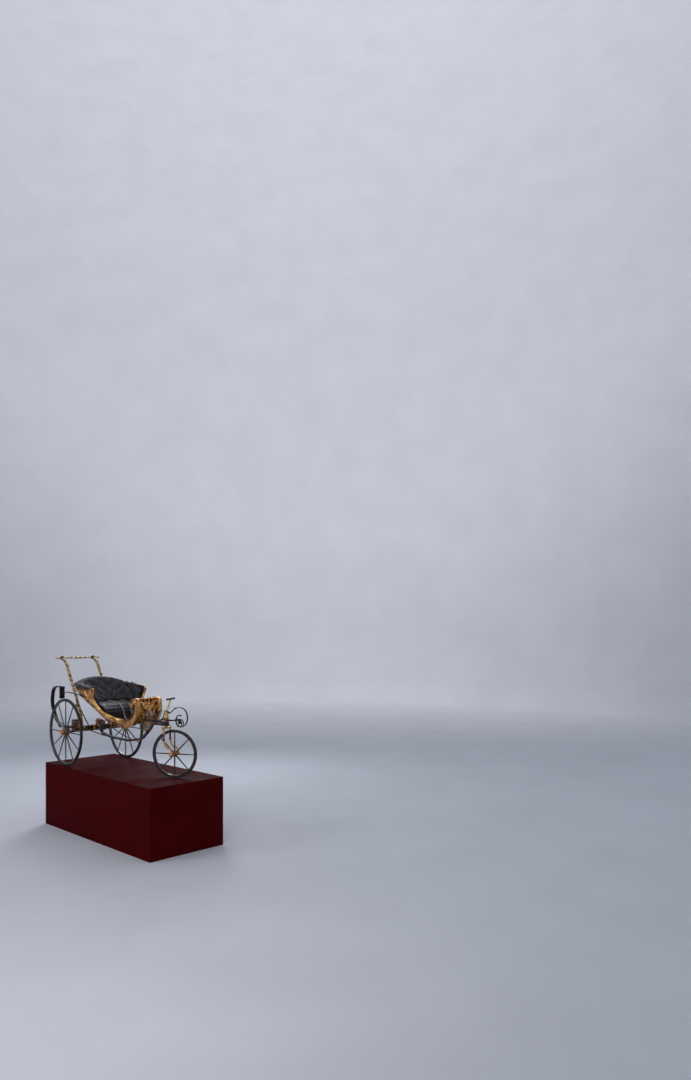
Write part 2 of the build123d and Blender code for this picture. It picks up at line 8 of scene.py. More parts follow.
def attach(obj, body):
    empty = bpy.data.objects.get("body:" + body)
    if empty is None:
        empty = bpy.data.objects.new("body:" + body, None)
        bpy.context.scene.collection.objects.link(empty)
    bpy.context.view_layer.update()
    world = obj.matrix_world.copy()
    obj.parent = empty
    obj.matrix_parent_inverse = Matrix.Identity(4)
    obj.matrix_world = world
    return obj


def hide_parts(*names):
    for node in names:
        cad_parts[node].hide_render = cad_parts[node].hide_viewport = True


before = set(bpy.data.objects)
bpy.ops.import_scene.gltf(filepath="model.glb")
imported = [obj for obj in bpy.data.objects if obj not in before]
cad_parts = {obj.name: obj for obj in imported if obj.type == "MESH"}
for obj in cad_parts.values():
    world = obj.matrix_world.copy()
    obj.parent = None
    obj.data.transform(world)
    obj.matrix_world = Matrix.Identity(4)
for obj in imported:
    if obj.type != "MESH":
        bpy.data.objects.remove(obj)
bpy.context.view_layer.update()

camera_data = bpy.data.cameras.new("camera")
camera_data.sensor_fit = "AUTO"
camera_data.sensor_width = 36.0
camera_data.lens = 25.53
camera_data.shift_y = 0.085
camera_data.clip_start = 0.05
camera_data.clip_end = 60.0
camera = bpy.data.objects.new("camera", camera_data)
camera.location = (5.644, -3.336, 1.661)
camera.rotation_euler = (math.radians(90.0), 0.0, math.radians(43.68))
bpy.context.scene.collection.objects.link(camera)
bpy.context.scene.camera = camera


# Floor and backdrop.
# A plain pale studio floor that runs up into a pale wall behind the carriage. Shader maths
# here and below is written with Wire, which wraps one socket of a material's node tree.
class Wire:
    """One socket of a shader tree. Arithmetic on it adds Math nodes to the same tree."""

    def __init__(self, tree, socket):
        self.tree = tree
        self.socket = socket

    def node(self, kind, settings, sockets, output=0):
        """Add a node: its settings first, then the values or links of its sockets."""
        made = self.tree.nodes.new(kind)
        for name, value in settings.items():
            setattr(made, name, value)
        for name, value in sockets.items():
            if isinstance(value, Wire):
                self.tree.links.new(value.socket, made.inputs[name])
            else:
                made.inputs[name].default_value = value
        return Wire(self.tree, made.outputs[output])

    def math(self, operation, *values):
        return self.node("ShaderNodeMath", {"operation": operation}, dict(enumerate(values or (self,))))

    def __add__(self, other):
        return self.math("ADD", self, other)

    def __radd__(self, other):
        return self.math("ADD", other, self)

    def __sub__(self, other):
        return self.math("SUBTRACT", self, other)

    def __rsub__(self, other):
        return self.math("SUBTRACT", other, self)

    def __mul__(self, other):
        return self.math("MULTIPLY", self, other)

    def __rmul__(self, other):
        return self.math("MULTIPLY", other, self)

    def clear(self, low, high):
        """0 below low, 1 above high, and a smooth rise between them."""
        return self.node("ShaderNodeMapRange", {"interpolation_type": "SMOOTHSTEP"},
                         {"Value": self, "From Min": low, "From Max": high})

    def mix(self, first, second):
        """The first colour where this is 0, the second where it is 1."""
        return self.node("ShaderNodeMix", {"data_type": "RGBA"}, {0: self, 6: first, 7: second}, 2)

    def noise(self, scale, detail=3.0, roughness=0.55):
        """Soft noise on this vector."""
        return self.node("ShaderNodeTexNoise", {},
                         {"Vector": self, "Scale": scale, "Detail": detail, "Roughness": roughness})

    def cells(self, scale):
        """How far this vector lies from the edges of a leather's cells."""
        return self.node("ShaderNodeTexVoronoi", {"feature": "DISTANCE_TO_EDGE"},
                         {"Vector": self, "Scale": scale})

    def part(self, axis):
        """One component, X, Y or Z, of this vector."""
        return self.node("ShaderNodeSeparateXYZ", {}, {0: self}, "XYZ".index(axis))


def tone(red, green, blue):
    """A colour as it looks on a screen, 0 to 255, in the linear values that a shader takes."""
    return tuple((((c / 255) + 0.055) / 1.055) ** 2.4 if c > 10 else c / 255 / 12.92
                 for c in (red, green, blue)) + (1.0,)


def new_finish(name, **constants):
    """A material, its Principled shader with constants set on it, and its Object coordinates."""
    material = bpy.data.materials.new(name)
    material.use_nodes = True
    tree = material.node_tree
    shader = tree.nodes["Principled BSDF"]
    for socket, value in constants.items():
        shader.inputs[socket.replace("_", " ")].default_value = value
    coordinates = tree.nodes.new("ShaderNodeTexCoord")
    return material, shader, Wire(tree, coordinates.outputs["Object"])


def drive(shader, bump=None, bump_distance=0.0005, bump_strength=0.5, **wires):
    """Lead wires to the shader's sockets, and a height in metres through a Bump node to its Normal."""
    for socket, wire in wires.items():
        wire.tree.links.new(wire.socket, shader.inputs[socket.replace("_", " ")])
    if bump is not None:
        heights = {"Height": bump, "Distance": bump_distance, "Strength": bump_strength}
        normal = bump.node("ShaderNodeBump", {}, heights)
        bump.tree.links.new(normal.socket, shader.inputs["Normal"])


def dress(thing, material):
    """Give a mesh one material, in place of what it has."""
    thing.data.materials.clear()
    thing.data.materials.append(material)


def object_of(bm, name):
    """A new object at the origin that holds the finished bmesh."""
    mesh = bpy.data.meshes.new(name)
    bm.to_mesh(mesh)
    bm.free()
    thing = bpy.data.objects.new(name, mesh)
    bpy.context.scene.collection.objects.link(thing)
    return thing


def soften(bm):
    """Shade every face as part of a smooth surface."""
    for face in bm.faces:
        face.smooth = True


studio, shader, place = new_finish("studio_paper", Roughness=0.95, Specular_IOR_Level=0.0)
drive(shader, Base_Color=place.noise(1.2, 2.0).clear(0.2, 0.8).mix(tone(214, 216, 222), tone(220, 222, 228)))
studio_middle = Vector((-1.0, 0.6, 0.0))
bm = bmesh.new()
bmesh.ops.create_circle(bm, cap_ends=True, segments=96, radius=10.5)
bmesh.ops.translate(bm, vec=studio_middle, verts=bm.verts)
rim = [edge for edge in bm.edges if edge.is_boundary]
for rise, out in ((0.12, 0.16), (0.38, 0.20), (1.0, 0.18), (8.0, 0.0), (14.0, 5.0)):
    made = bmesh.ops.extrude_edge_only(bm, edges=rim)
    rim = [item for item in made["geom"] if isinstance(item, bmesh.types.BMEdge)]
    for vert in {vert for edge in rim for vert in edge.verts}:
        outwards = (vert.co - studio_middle).xy.normalized() * out
        vert.co += Vector((outwards.x, outwards.y, rise))
soften(bm)
bmesh.ops.recalc_face_normals(bm, faces=bm.faces)
bmesh.ops.reverse_faces(bm, faces=bm.faces)
floor = object_of(bm, "studio_sweep")
dress(floor, studio)

# Studio light.
# A pale room with one broad key from the front right, two softer panels on that side and one
# behind, which put long highlights on gilding, paint and leather.
world = bpy.data.worlds.new("studio")
world.use_nodes = True
bpy.context.scene.world = world
sky = world.node_tree.nodes["Background"]
sky.inputs["Color"].default_value = tone(230, 236, 248)
sky.inputs["Strength"].default_value = 0.60
sun_spread = math.radians(16.0)
# Name, kind, place, target, strength, colour and settings of each lamp
lamps = [
    ("key_sun", "SUN", (2.2, -3.0, 4.4), (0.0, 0.0, 0.9), 1.7, (1.0, 0.975, 0.94), {"angle": sun_spread}),
    ("front_panel", "AREA", (3.2, -2.6, 1.9), (0.0, 0.0, 1.0), 26.0, (1.0, 0.98, 0.95), {"size": 1.3}),
    ("side_panel", "AREA", (-0.6, -3.4, 2.2), (-0.2, 0.0, 1.0), 24.0, (0.97, 0.98, 1.0), {"size": 1.2}),
    ("back_panel", "AREA", (-2.6, 2.2, 2.8), (0.0, 0.0, 1.1), 40.0, (0.94, 0.97, 1.0), {"size": 1.4}),
]
for name, kind, stand, target, power, colour, settings in lamps:
    lamp_data = bpy.data.lights.new(name, kind)
    lamp_data.energy = power
    lamp_data.color = colour
    for setting, value in settings.items():
        setattr(lamp_data, setting, value)
    lamp = bpy.data.objects.new(name, lamp_data)
    lamp.location = stand
    lamp.rotation_euler = (Vector(target) - Vector(stand)).to_track_quat("-Z", "Y").to_euler()
    bpy.context.scene.collection.objects.link(lamp)
bpy.context.scene.view_settings.view_transform = "Standard"

# Plinth.
# A box of boards that the carriage is shown on, painted in one deep matt maroon. Its faces
# are a little uneven from the roller, and its foot is scuffed paler in places.
plinth_paint, shader, place = new_finish("maroon_board_paint", Specular_IOR_Level=0.03)
plinth_cloud = place.noise(3.5, 4.0, 0.6).clear(0.3, 0.75)
plinth_speck = place.noise(420.0, 2.0)
plinth_scuff = place.noise(26.0, 5.0, 0.7).clear(0.62, 0.72) * (0.14 - place.part("Z")).clear(0.0, 0.14)
plinth_base = plinth_scuff.mix(plinth_cloud.mix(tone(66, 4, 7), tone(78, 7, 9)), tone(98, 36, 32))
drive(shader, Base_Color=plinth_base, Roughness=0.66 + plinth_cloud * 0.2,
      bump=plinth_speck + plinth_cloud * 2.0, bump_distance=0.0006)
dress(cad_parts["plinth"], plinth_paint)

# Wheels.
# Bent felloes, round spokes and turned hubs in black coach paint over ash, each rim shod
# with a black band tyre. The paint is rubbed through to brown wood in small patches.
deck = 0.53
forwards = Vector((1, 0, 0))
leftwards = Vector((0, 1, 0))
upwards = Vector((0, 0, 1))
rear_axle_x = -0.548
rear_axle_z = 0.2823
rear_wheel_y = 0.282
rear_radius = 0.282
front_radius = 0.188
steer_x = 0.542
steer_turn = math.radians(27.6)
turn_run = Vector((math.cos(steer_turn), math.sin(steer_turn), 0))
turn_side = Vector((-math.sin(steer_turn), math.cos(steer_turn), 0))
front_hub_x = 0.069
front_hub_z = 0.1883


def at(x, y, z):
    """A point of the carriage: forwards, to its left, and above the deck."""
    return Vector((x, y, deck + z))


def turned(x, y, z):
    """A point of the steered front: forwards of the steering axis, to its left, above the deck."""
    return at(steer_x, 0, z) + turn_run * x + turn_side * y


tyre_band, shader, place = new_finish("tyre_band", Roughness=0.55)
tyre_dust = place.noise(55.0, 5.0, 0.65).clear(0.42, 0.72)
drive(shader, Base_Color=tyre_dust.mix(tone(24, 23, 25), tone(62, 56, 54)), Roughness=0.42 + tyre_dust * 0.35,
      bump=place.noise(600.0, 2.0) + tyre_dust * 1.5, bump_distance=0.0004)

black_paint, shader, place = new_finish("black_coach_paint", Coat_Roughness=0.12)
paint_rub = place.noise(70.0, 6.0, 0.7).clear(0.54, 0.66)
paint_tint = place.noise(9.0).clear(0.3, 0.7)
paint_base = paint_rub.mix(paint_tint.mix(tone(27, 22, 23), tone(48, 33, 28)), tone(122, 76, 48))
drive(shader, Base_Color=paint_base, Roughness=0.3 + paint_rub * 0.35 + paint_tint * 0.06,
      Coat_Weight=0.55 - paint_rub * 0.5,
      bump=place.noise(240.0) - paint_rub * 2.0, bump_distance=0.0004, bump_strength=0.55)

copper_gilt, shader, place = new_finish("copper_gilt", Metallic=1.0)
gilt_wear = place.noise(60.0, 6.0, 0.68).clear(0.5, 0.7)
gilt_warm = place.noise(11.0).clear(0.3, 0.72)
gilt_light = gilt_warm.mix(tone(206, 134, 84), tone(226, 162, 100))
drive(shader, Base_Color=gilt_wear.mix(gilt_light, tone(120, 66, 38)),
      Roughness=0.27 + gilt_wear * 0.3, bump=place.noise(300.0) + gilt_wear, bump_distance=0.0004,
      bump_strength=0.6)


def take_in(bm, other):
    """Add another bmesh to this one, and free it."""
    passing = bpy.data.meshes.new("passing")
    other.to_mesh(passing)
    other.free()
    bm.from_mesh(passing)
    bpy.data.meshes.remove(passing)


def ring(whole, centre, axis, radius, tube, turns=24, sides=8):
    """A closed band round an axis: a small circle spun once about it."""
    bm = bmesh.new()
    side = axis.orthogonal().normalized()
    start = Matrix((side, axis.normalized(), side.cross(axis.normalized()))).transposed()
    made = bmesh.ops.create_circle(bm, cap_ends=False, segments=sides, radius=tube)
    for vert in made["verts"]:
        vert.co.x += radius
        vert.co = centre + start @ vert.co
    edges = list({edge for vert in made["verts"] for edge in vert.link_edges})
    bmesh.ops.spin(bm, geom=made["verts"] + edges, cent=centre, axis=axis, dvec=(0, 0, 0),
                   angle=2 * math.pi, steps=turns, use_merge=True)
    take_in(whole, bm)


buns = {}


def bun(bm, matrix, fine):
    """A copy of a small round of wood or metal, stretched, turned and placed by a matrix."""
    if fine not in buns:
        buns[fine] = bpy.data.meshes.new("bun")
        one = bmesh.new()
        bmesh.ops.create_uvsphere(one, u_segments=fine, v_segments=max(6, fine // 2), radius=1.0)
        one.to_mesh(buns[fine])
        one.free()
    copy = buns[fine].copy()
    copy.transform(matrix)
    bm.from_mesh(copy)
    bpy.data.meshes.remove(copy)


def ball(bm, centre, radius, squash=1.0, axis=None, fine=12):
    """A small turned ball or, with squash, a bun along an axis."""
    turn = Matrix.Identity(4) if axis is None else axis.to_track_quat("Z", "Y").to_matrix().to_4x4()
    bun(bm, Matrix.Translation(centre) @ turn @ Matrix.Diagonal((radius, radius, radius * squash, 1)), fine)


def rays(count, axis, first, offset=0.0):
    """Directions evenly spaced round an axis, from a first one on."""
    steps = [2 * math.pi * (number + offset) / count for number in range(count)]
    return [Matrix.Rotation(angle, 3, axis) @ first for angle in steps]


def close(bm):
    """Merge doubles and turn every face outwards."""
    bmesh.ops.remove_doubles(bm, verts=bm.verts, dist=1e-6)
    bmesh.ops.recalc_face_normals(bm, faces=bm.faces)
    soften(bm)


def fasten(bm, name, material, body="carriage"):
    """Close a mesh and make it a piece with one finish, which rides on its body."""
    close(bm)
    piece = object_of(bm, name)
    dress(piece, material)
    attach(piece, body)
    return piece


# Name, centre, way out, rim's radius, number of spokes, and the hub's radius and half length
wheel_table = [
    ("rear_right", at(rear_axle_x, -rear_wheel_y, rear_axle_z), -leftwards, rear_radius, 12, 0.025, 0.031),
    ("rear_left", at(rear_axle_x, rear_wheel_y, rear_axle_z), leftwards, rear_radius, 12, 0.025, 0.031),
    ("front", turned(front_hub_x, 0, front_hub_z), -turn_side, front_radius, 8, 0.018, 0.026),
]
for name, centre, outward, radius, spokes, hub_radius, hub_half in wheel_table:
    body = name + "_wheel"
    dress(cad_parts[name + "_tyre"], tyre_band)
    for node in ("_felloes", "_spokes", "_hub"):
        dress(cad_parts[name + node], black_paint)
    # Shrunk-on hub hoops of coppered iron
    bm = bmesh.new()
    for along, size in ((0.86, 0.8), (-0.86, 0.88), (0.34, 1.0), (-0.34, 1.0)):
        ring(bm, centre + outward * hub_half * along, outward, hub_radius * size + 0.001, 0.0026, 40)
    fasten(bm, name + "_hub_hoops", copper_gilt, body)
    # A turned collar at each end of a spoke, and rivets between the spokes that hold the tyre
    bm = bmesh.new()
    for ray, gap in zip(rays(spokes, outward, upwards), rays(spokes, outward, upwards, 0.5)):
        ring(bm, centre + ray * (hub_radius + 0.004), ray, 0.0062, 0.0016, 16, 6)
        ring(bm, centre + ray * (radius - 0.0252), ray, 0.0048, 0.0014, 16, 6)
        for face in (-0.0086, 0.0086):
            ball(bm, centre + gap * (radius - 0.0155) + outward * face, 0.0026, 0.5, outward, 8)
    fasten(bm, name + "_collars", black_paint, body)
for name, centre, outward in [row[:3] for row in wheel_table[:2]]:
    cap = name + "_hub_cap"
    dress(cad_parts[cap], copper_gilt)
    bm = bmesh.new()
    for along, size, tube in ((0.0325, 0.019, 0.0022), (0.0415, 0.0158, 0.0016)):
        ring(bm, centre + outward * along, outward, size, tube, 40)
    ball(bm, centre + outward * 0.0515, 0.0045, 0.5, outward)
    fasten(bm, cap + "_rings", copper_gilt, name + "_wheel")

# Axle, bed and perch.
# An iron axle under a black wooden bed, which carries a carved and gilt block at each end.
# A bent perch bar and two thin stays run forwards from it, with a carved block on the perch.
iron, shader, place = new_finish("forged_iron", Metallic=0.35)
iron_scale = place.noise(48.0, 6.0, 0.7).clear(0.45, 0.72)
iron_dent = place.noise(150.0)
drive(shader, Base_Color=iron_scale.mix(tone(28, 26, 28), tone(68, 52, 44)),
      Roughness=0.36 + iron_scale * 0.3,
      bump=iron_dent + iron_scale, bump_distance=0.0006)

bed_wood, shader, place = new_finish("carved_black_wood", Coat_Roughness=0.2)
block_mask = (place.part("Y").math("ABSOLUTE") - 0.139).clear(0.0, 0.002)
carve_swirl = place.noise(44.0, 1.0, 0.4)
carve_line = 1.0 - (carve_swirl - 0.5).math("ABSOLUTE").clear(0.012, 0.045)
carve_gilt = (carve_line + place.noise(60.0, 4.0) * 0.6).clear(0.62, 1.05) * block_mask
wood_rub = place.noise(66.0, 6.0, 0.7).clear(0.57, 0.68)
drive(shader, Base_Color=carve_gilt.mix(wood_rub.mix(tone(28, 23, 24), tone(92, 62, 42)), tone(184, 128, 70)),
      Metallic=carve_gilt * 0.85, Roughness=0.42 - carve_gilt * 0.1 + wood_rub * 0.2,
      Coat_Weight=0.3 - wood_rub * 0.3, bump=carve_line * block_mask * 2.0 + place.noise(260.0) * 0.5,
      bump_distance=0.0016, bump_strength=0.6)
for name in ("rear_axle", "perch_stays", "handle_stays", "steering_head", "front_bar"):
    dress(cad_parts[name], iron)
dress(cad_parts["axle_bed"], bed_wood)
dress(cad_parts["perch"], black_paint)
dress(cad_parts["perch_block"], bed_wood)


def moulded_box(whole, centre, size, bevel, turn=None):
    """A block with rounded edges."""
    bm = bmesh.new()
    made = bmesh.ops.create_cube(bm, size=1.0)
    bmesh.ops.transform(bm, matrix=Matrix.Diagonal((*size, 1)), verts=made["verts"])
    edges = list({edge for vert in made["verts"] for edge in vert.link_edges})
    bmesh.ops.bevel(bm, geom=edges, offset=bevel, affect="EDGES", segments=3, profile=0.5, material=-1)
    move = Matrix.Translation(centre) @ (turn.to_4x4() if turn else Matrix.Identity(4))
    bmesh.ops.transform(bm, matrix=move, verts=bm.verts)
    take_in(whole, bm)


def petal(bm, spot, run, out, length, wide, thick):
    """A small carved leaf: a bun stretched along run and flattened along out."""
    side = run.cross(out).normalized()
    turn = Matrix((side * wide, out.normalized() * thick, run.normalized() * length)).transposed().to_4x4()
    bun(bm, Matrix.Translation(spot) @ turn, 10)


def tree_of(*names):
    """One search tree over the meshes of some nodes."""
    bm = bmesh.new()
    for name in names:
        bm.from_mesh(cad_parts[name].data)
    tree = BVHTree.FromBMesh(bm)
    bm.free()
    return tree


def middle_of(tree, start, aim, span):
    """The point halfway through a piece along a line, or None where the line misses it."""
    near = tree.ray_cast(start, aim)[0]
    far = tree.ray_cast(start + aim * span, -aim)[0]
    return (near + far) / 2 if near and far else None


def run_at(points, number, reach=1):
    """The way a line runs at one of its points, over some neighbours on each side."""
    return (points[min(number + reach, len(points) - 1)] - points[max(number - reach, 0)]).normalized()


def sweep(whole, points, radius, sides=10, flat=1.0, up=upwards, fade=0.0):
    """A round or flattened bar along points: one circle, extruded from point to point."""
    bm = bmesh.new()
    moves_to = []
    for number, point in enumerate(points):
        run = run_at(points, number)
        side = run.cross(up)
        side = side.normalized() if side.length > 1e-4 else run.orthogonal().normalized()
        share = number / (len(points) - 1)
        size = radius(share) if callable(radius) else radius
        if fade:
            size *= max(0.02, min(1.0, share / fade, (1 - share) / fade)) ** 0.5
        top = side.cross(run).normalized()
        turn = Matrix((side * size, top * size * flat, run)).transposed().to_4x4()
        moves_to.append(Matrix.Translation(point) @ turn)
    made = bmesh.ops.create_circle(bm, cap_ends=True, segments=sides, radius=1.0, matrix=moves_to[0])
    first = made["verts"]
    edges = list({edge for vert in first for edge in vert.link_edges if edge.other_vert(vert) in first})
    for last_move, move in zip(moves_to, moves_to[1:]):
        grown = bmesh.ops.extrude_edge_only(bm, edges=edges)["geom"]
        verts = [item for item in grown if isinstance(item, bmesh.types.BMVert)]
        edges = [item for item in grown if isinstance(item, bmesh.types.BMEdge)]
        bmesh.ops.transform(bm, matrix=move @ last_move.inverted(), verts=verts)
    bmesh.ops.contextual_create(bm, geom=edges)
    take_in(whole, bm)


block_y = 0.178
bed_mid_z = 0.3017
bm = bmesh.new()
# Gilt collars round the bed near its middle and beside each block
for y, size in ((-0.03, 1.0), (0.03, 1.0), (-0.128, 0.8), (0.128, 0.8)):
    moulded_box(bm, at(rear_axle_x, y, bed_mid_z), (0.038 + 0.007 * size, 0.012, 0.042 + 0.007 * size), 0.003)
    for out in (-0.009, 0.009):
        moulded_box(bm, at(rear_axle_x, y + out, bed_mid_z), (0.041, 0.005, 0.045), 0.002)
# Each block: a cap moulding, a base moulding and a rosette with leaves on its three free sides
for side in (-1, 1):
    for z, out in ((0.3605, 0.0045), (0.2905, 0.0055)):
        moulded_box(bm, at(rear_axle_x, side * block_y, z), (0.06 + out, 0.074 + out, 0.0075), 0.0028)
    for aim, reach in ((leftwards * side, 0.037), (forwards, 0.03), (-forwards, 0.03)):
        middle = at(rear_axle_x, side * block_y, 0.33) + aim * reach
        ball(bm, middle, 0.0075, 0.6, aim, 14)
        for ray in rays(8, aim, upwards):
            petal(bm, middle + ray * 0.0125, ray, aim, 0.0068, 0.004, 0.0026)
fasten(bm, "bed_gilding", copper_gilt)

# The perch's dark block: a scroll and leaves at each side, and beads over its front slope
block_slope = Vector((0.8, 0, -0.55))
block_leaves = [(-0.505, 0.352, 0.017), (-0.486, 0.33, 0.018), (-0.462, 0.326, 0.016),
                (-0.452, 0.302, 0.013), (-0.5, 0.322, 0.012)]
block_beads = [(-0.515, 0.3785), (-0.498, 0.3765), (-0.48, 0.3735), (-0.464, 0.366), (-0.45, 0.3545),
               (-0.438, 0.342)]
bm = bmesh.new()
for side in (-1, 1):
    for x, z, length in block_leaves:
        petal(bm, at(x, side * 0.0205, z), block_slope, leftwards * side, length, length * 0.5, 0.0032)
    ring(bm, at(-0.507, side * 0.0195, 0.358), leftwards, 0.0105, 0.003)
for x, z in block_beads:
    for y in (-0.012, 0.0, 0.012):
        ball(bm, at(x, y, z - 0.0025), 0.0058, 0.8, Vector((0.4, 0, 1)), 8)
fasten(bm, "perch_block_carving", copper_gilt)

# A red-brown coach line along each side of the perch, and iron clips round it
coach_line, shader, place = new_finish("coach_line", Roughness=0.4)
drive(shader, Base_Color=place.noise(90.0, 4.0, 0.6).clear(0.4, 0.7).mix(tone(120, 52, 34), tone(86, 40, 30)),
      bump=place.noise(200.0), bump_distance=0.0003, bump_strength=1.0)
perch_tree = tree_of("perch")
perch_half = 0.0101
perch_line = [middle_of(perch_tree, at(-0.424 + number * 0.0094, 0, 0.1), upwards, 0.5)
              for number in range(100)]
perch_line = [point for point in perch_line if point]
bm = bmesh.new()
for side in (-1, 1):
    line = [point + leftwards * side * perch_half for point in perch_line]
    sweep(bm, line, 0.0024, 6, 0.4, up=leftwards * side)
fasten(bm, "perch_lines", coach_line)
bm = bmesh.new()
for spot in (4, 42, 56, 74, 97):
    here = perch_line[spot]
    run = (perch_line[spot + 2] - here).normalized()
    clip_turn = Matrix((run, leftwards, run.cross(leftwards))).transposed()
    moulded_box(bm, here, (0.012, 0.0246, 0.0216), 0.002, clip_turn)
    for side in (-1, 1):
        ball(bm, here + leftwards * side * 0.0125, 0.0036, 0.6, leftwards * side, 8)
fasten(bm, "perch_clips", iron)

# Body.
# A small boat-shaped tub bent up from thin board, with carved and water-gilt lime wood laid
# over its outside. Its inside is lined with black leather down to the foot well.
tub_gilt, shader, place = new_finish("tub_gilding")
tub_normal = Wire(place.tree, place.tree.nodes.new("ShaderNodeTexCoord").outputs["Normal"])
tub_heart = place.node("ShaderNodeVectorMath", {"operation": "SUBTRACT"}, {0: (-0.07, 0.0, 1.17), 1: place})
tub_inside = tub_normal.node("ShaderNodeVectorMath", {"operation": "DOT_PRODUCT"},
                             {0: tub_normal, 1: tub_heart}, "Value").clear(0.0, 0.02)
gilt_patch = place.noise(16.0, 4.0, 0.6).clear(0.35, 0.7)
gilt_rub = place.noise(75.0, 6.0, 0.72).clear(0.56, 0.7)
gilt_colour = gilt_rub.mix(gilt_patch.mix(tone(106, 64, 36), tone(146, 98, 54)), tone(54, 31, 21))
lining_grain = place.cells(620.0).clear(0.0, 0.1) * tub_inside
drive(shader, Base_Color=tub_inside.mix(gilt_colour, tone(30, 29, 33)),
      Metallic=(1.0 - tub_inside) * (0.95 - gilt_rub * 0.6),
      Roughness=tub_inside * 0.18 + 0.34 + gilt_rub * 0.22,
      bump=place.noise(520.0, 2.0) * 0.6 + gilt_rub * 0.8 + lining_grain, bump_strength=0.6)
dress(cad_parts["body_shell"], tub_gilt)


def painted_light_and_wear_of(place):
    """The per-point level on carving or hide: how much painted highlight, shade, wear and dirt each point
    takes.
    """
    painted_light_and_wear = place.tree.nodes.new("ShaderNodeAttribute")
    painted_light_and_wear.attribute_name = "painted_light_and_wear"
    return Wire(place.tree, painted_light_and_wear.outputs["Fac"])


# Gilding on carved work: bright on the high parts as painted highlight, dark brown in the hollows as painted
# shade over brown bole and dust
leaf_gilt, shader, place = new_finish("carved_gilding")
leaf_rub = place.noise(60.0, 6.0, 0.7).clear(0.55, 0.72)
leaf_tint = place.noise(14.0).clear(0.3, 0.7)
leaf_highlight_and_shade = (painted_light_and_wear_of(place) + place.noise(120.0) * 0.3 - 0.15).clear(0.10, 0.56)
leaf_bright = leaf_tint.mix(tone(216, 150, 88), tone(238, 192, 122))
leaf_colour = leaf_highlight_and_shade.mix(tone(74, 38, 24), (leaf_rub * 0.55).mix(leaf_bright, tone(126, 70, 42)))
drive(shader, Base_Color=leaf_colour, Metallic=0.55 + leaf_highlight_and_shade * 0.45,
      Roughness=0.5 - leaf_highlight_and_shade * 0.24 + leaf_rub * 0.14,
      bump=place.noise(420.0) + leaf_rub, bump_distance=0.0004)

# Side bands.
# A carved moulding along each side under the opening, one length of lime wood from the wing
# down under the seat and up to a volute. Leaves lie along it, over a string of beads.
band_step = 0.0025
# Places along the carriage and above the deck, and the half width of the band there
band_route = [(-0.181, 0.658, 0.026), (-0.186, 0.64, 0.027), (-0.196, 0.606, 0.028), (-0.205, 0.574, 0.029),
              (-0.18, 0.51, 0.029), (-0.128, 0.424, 0.029), (0.052, 0.384, 0.028), (0.186, 0.384, 0.026),
              (0.28, 0.464, 0.02), (0.286, 0.532, 0.014), (0.287, 0.59, 0.0125), (0.226, 0.592, 0.0115),
              (0.219, 0.546, 0.01), (0.25, 0.541, 0.007)]
wing_tip = [(-0.212, 0.66), (-0.194, 0.6645), (-0.172, 0.665), (-0.159, 0.66), (-0.16, 0.649),
            (-0.164, 0.637)]


def smooth_line(points, rounds=3):
    """The points' corners cut again and again, with the two ends kept."""
    line = [Vector(point) for point in points]
    for _ in range(rounds):
        cut = [line[0]]
        for first, second in zip(line, line[1:]):
            cut += [first.lerp(second, 0.25), first.lerp(second, 0.75)]
        line = cut + [line[-1]]
    return line


def even_line(line, step):
    """The same line with its points a step apart."""
    lengths = [0.0]
    for first, second in zip(line, line[1:]):
        lengths.append(lengths[-1] + (second - first).length)
    count = max(3, round(lengths[-1] / step))
    spaced, place_at = [], 0
    for number in range(count + 1):
        want = lengths[-1] * number / count
        while place_at < len(line) - 2 and lengths[place_at + 1] < want:
            place_at += 1
        share = (want - lengths[place_at]) / max(1e-9, lengths[place_at + 1] - lengths[place_at])
        spaced.append(line[place_at].lerp(line[place_at + 1], min(1.0, share)))
    return spaced


def carved(whole, rows, columns, lay):
    """A closed carved strip. lay(u, v, under) gives a point and its level of painted highlight and shade, v
    across from -1 to 1.
    """
    bm = bmesh.new()
    painted_light_and_wear_layer = bm.verts.layers.float.new("painted_light_and_wear")
    around = columns + max(4, columns // 3)
    grid = bmesh.ops.create_grid(bm, x_segments=rows, y_segments=around, size=1.0)
    for vert in grid["verts"]:
        turn = (vert.co.y + 1) / 2 * around
        over = turn <= columns
        v = 1 - 2 * turn / columns if over else -1 + 2 * (turn - columns) / (around - columns)
        vert.co, vert[painted_light_and_wear_layer] = lay((vert.co.x + 1) / 2, max(-1.0, min(1.0, v)), not over)
    bmesh.ops.remove_doubles(bm, verts=grid["verts"], dist=1e-5)
    take_in(whole, bm)


def level_all(bm, level):
    """Give every point of the mesh one level of painted light and wear."""
    layer = bm.verts.layers.float.get("painted_light_and_wear") or bm.verts.layers.float.new("painted_light_and_wear")
    for vert in bm.verts:
        vert[layer] = level


def between(values, u):
    """A value from a row of them, at a share u of its length."""
    spot = u * (len(values) - 1)
    low = min(int(spot), len(values) - 2)
    return values[low] + (values[low + 1] - values[low]) * (spot - low)


def averaged(values, reach, zero=0.0):
    """Each value of a row averaged with its neighbours, up to reach places away."""
    near = [values[max(0, number - reach):number + reach + 1] for number in range(len(values))]
    return [sum(few, zero) / len(few) for few in near]


def ramp(value, low, rise):
    """0 up to low, then a straight rise to 1."""
    return max(0.0, min(1.0, (value - low) / rise))


def ridge(v, middle, wide):
    """A round ridge that is 1 at its middle."""
    return math.exp(-((v - middle) / wide) ** 2)


def beside(number, span, v):
    """A place along the carriage and above the deck, v half widths from the route's middle."""
    last = len(route) - 1
    run = (route[min(number + span, last)] - route[max(number - span, 0)]).xy.normalized()
    x, z, half = route[number]
    return x - run.y * half * v, z + run.x * half * v


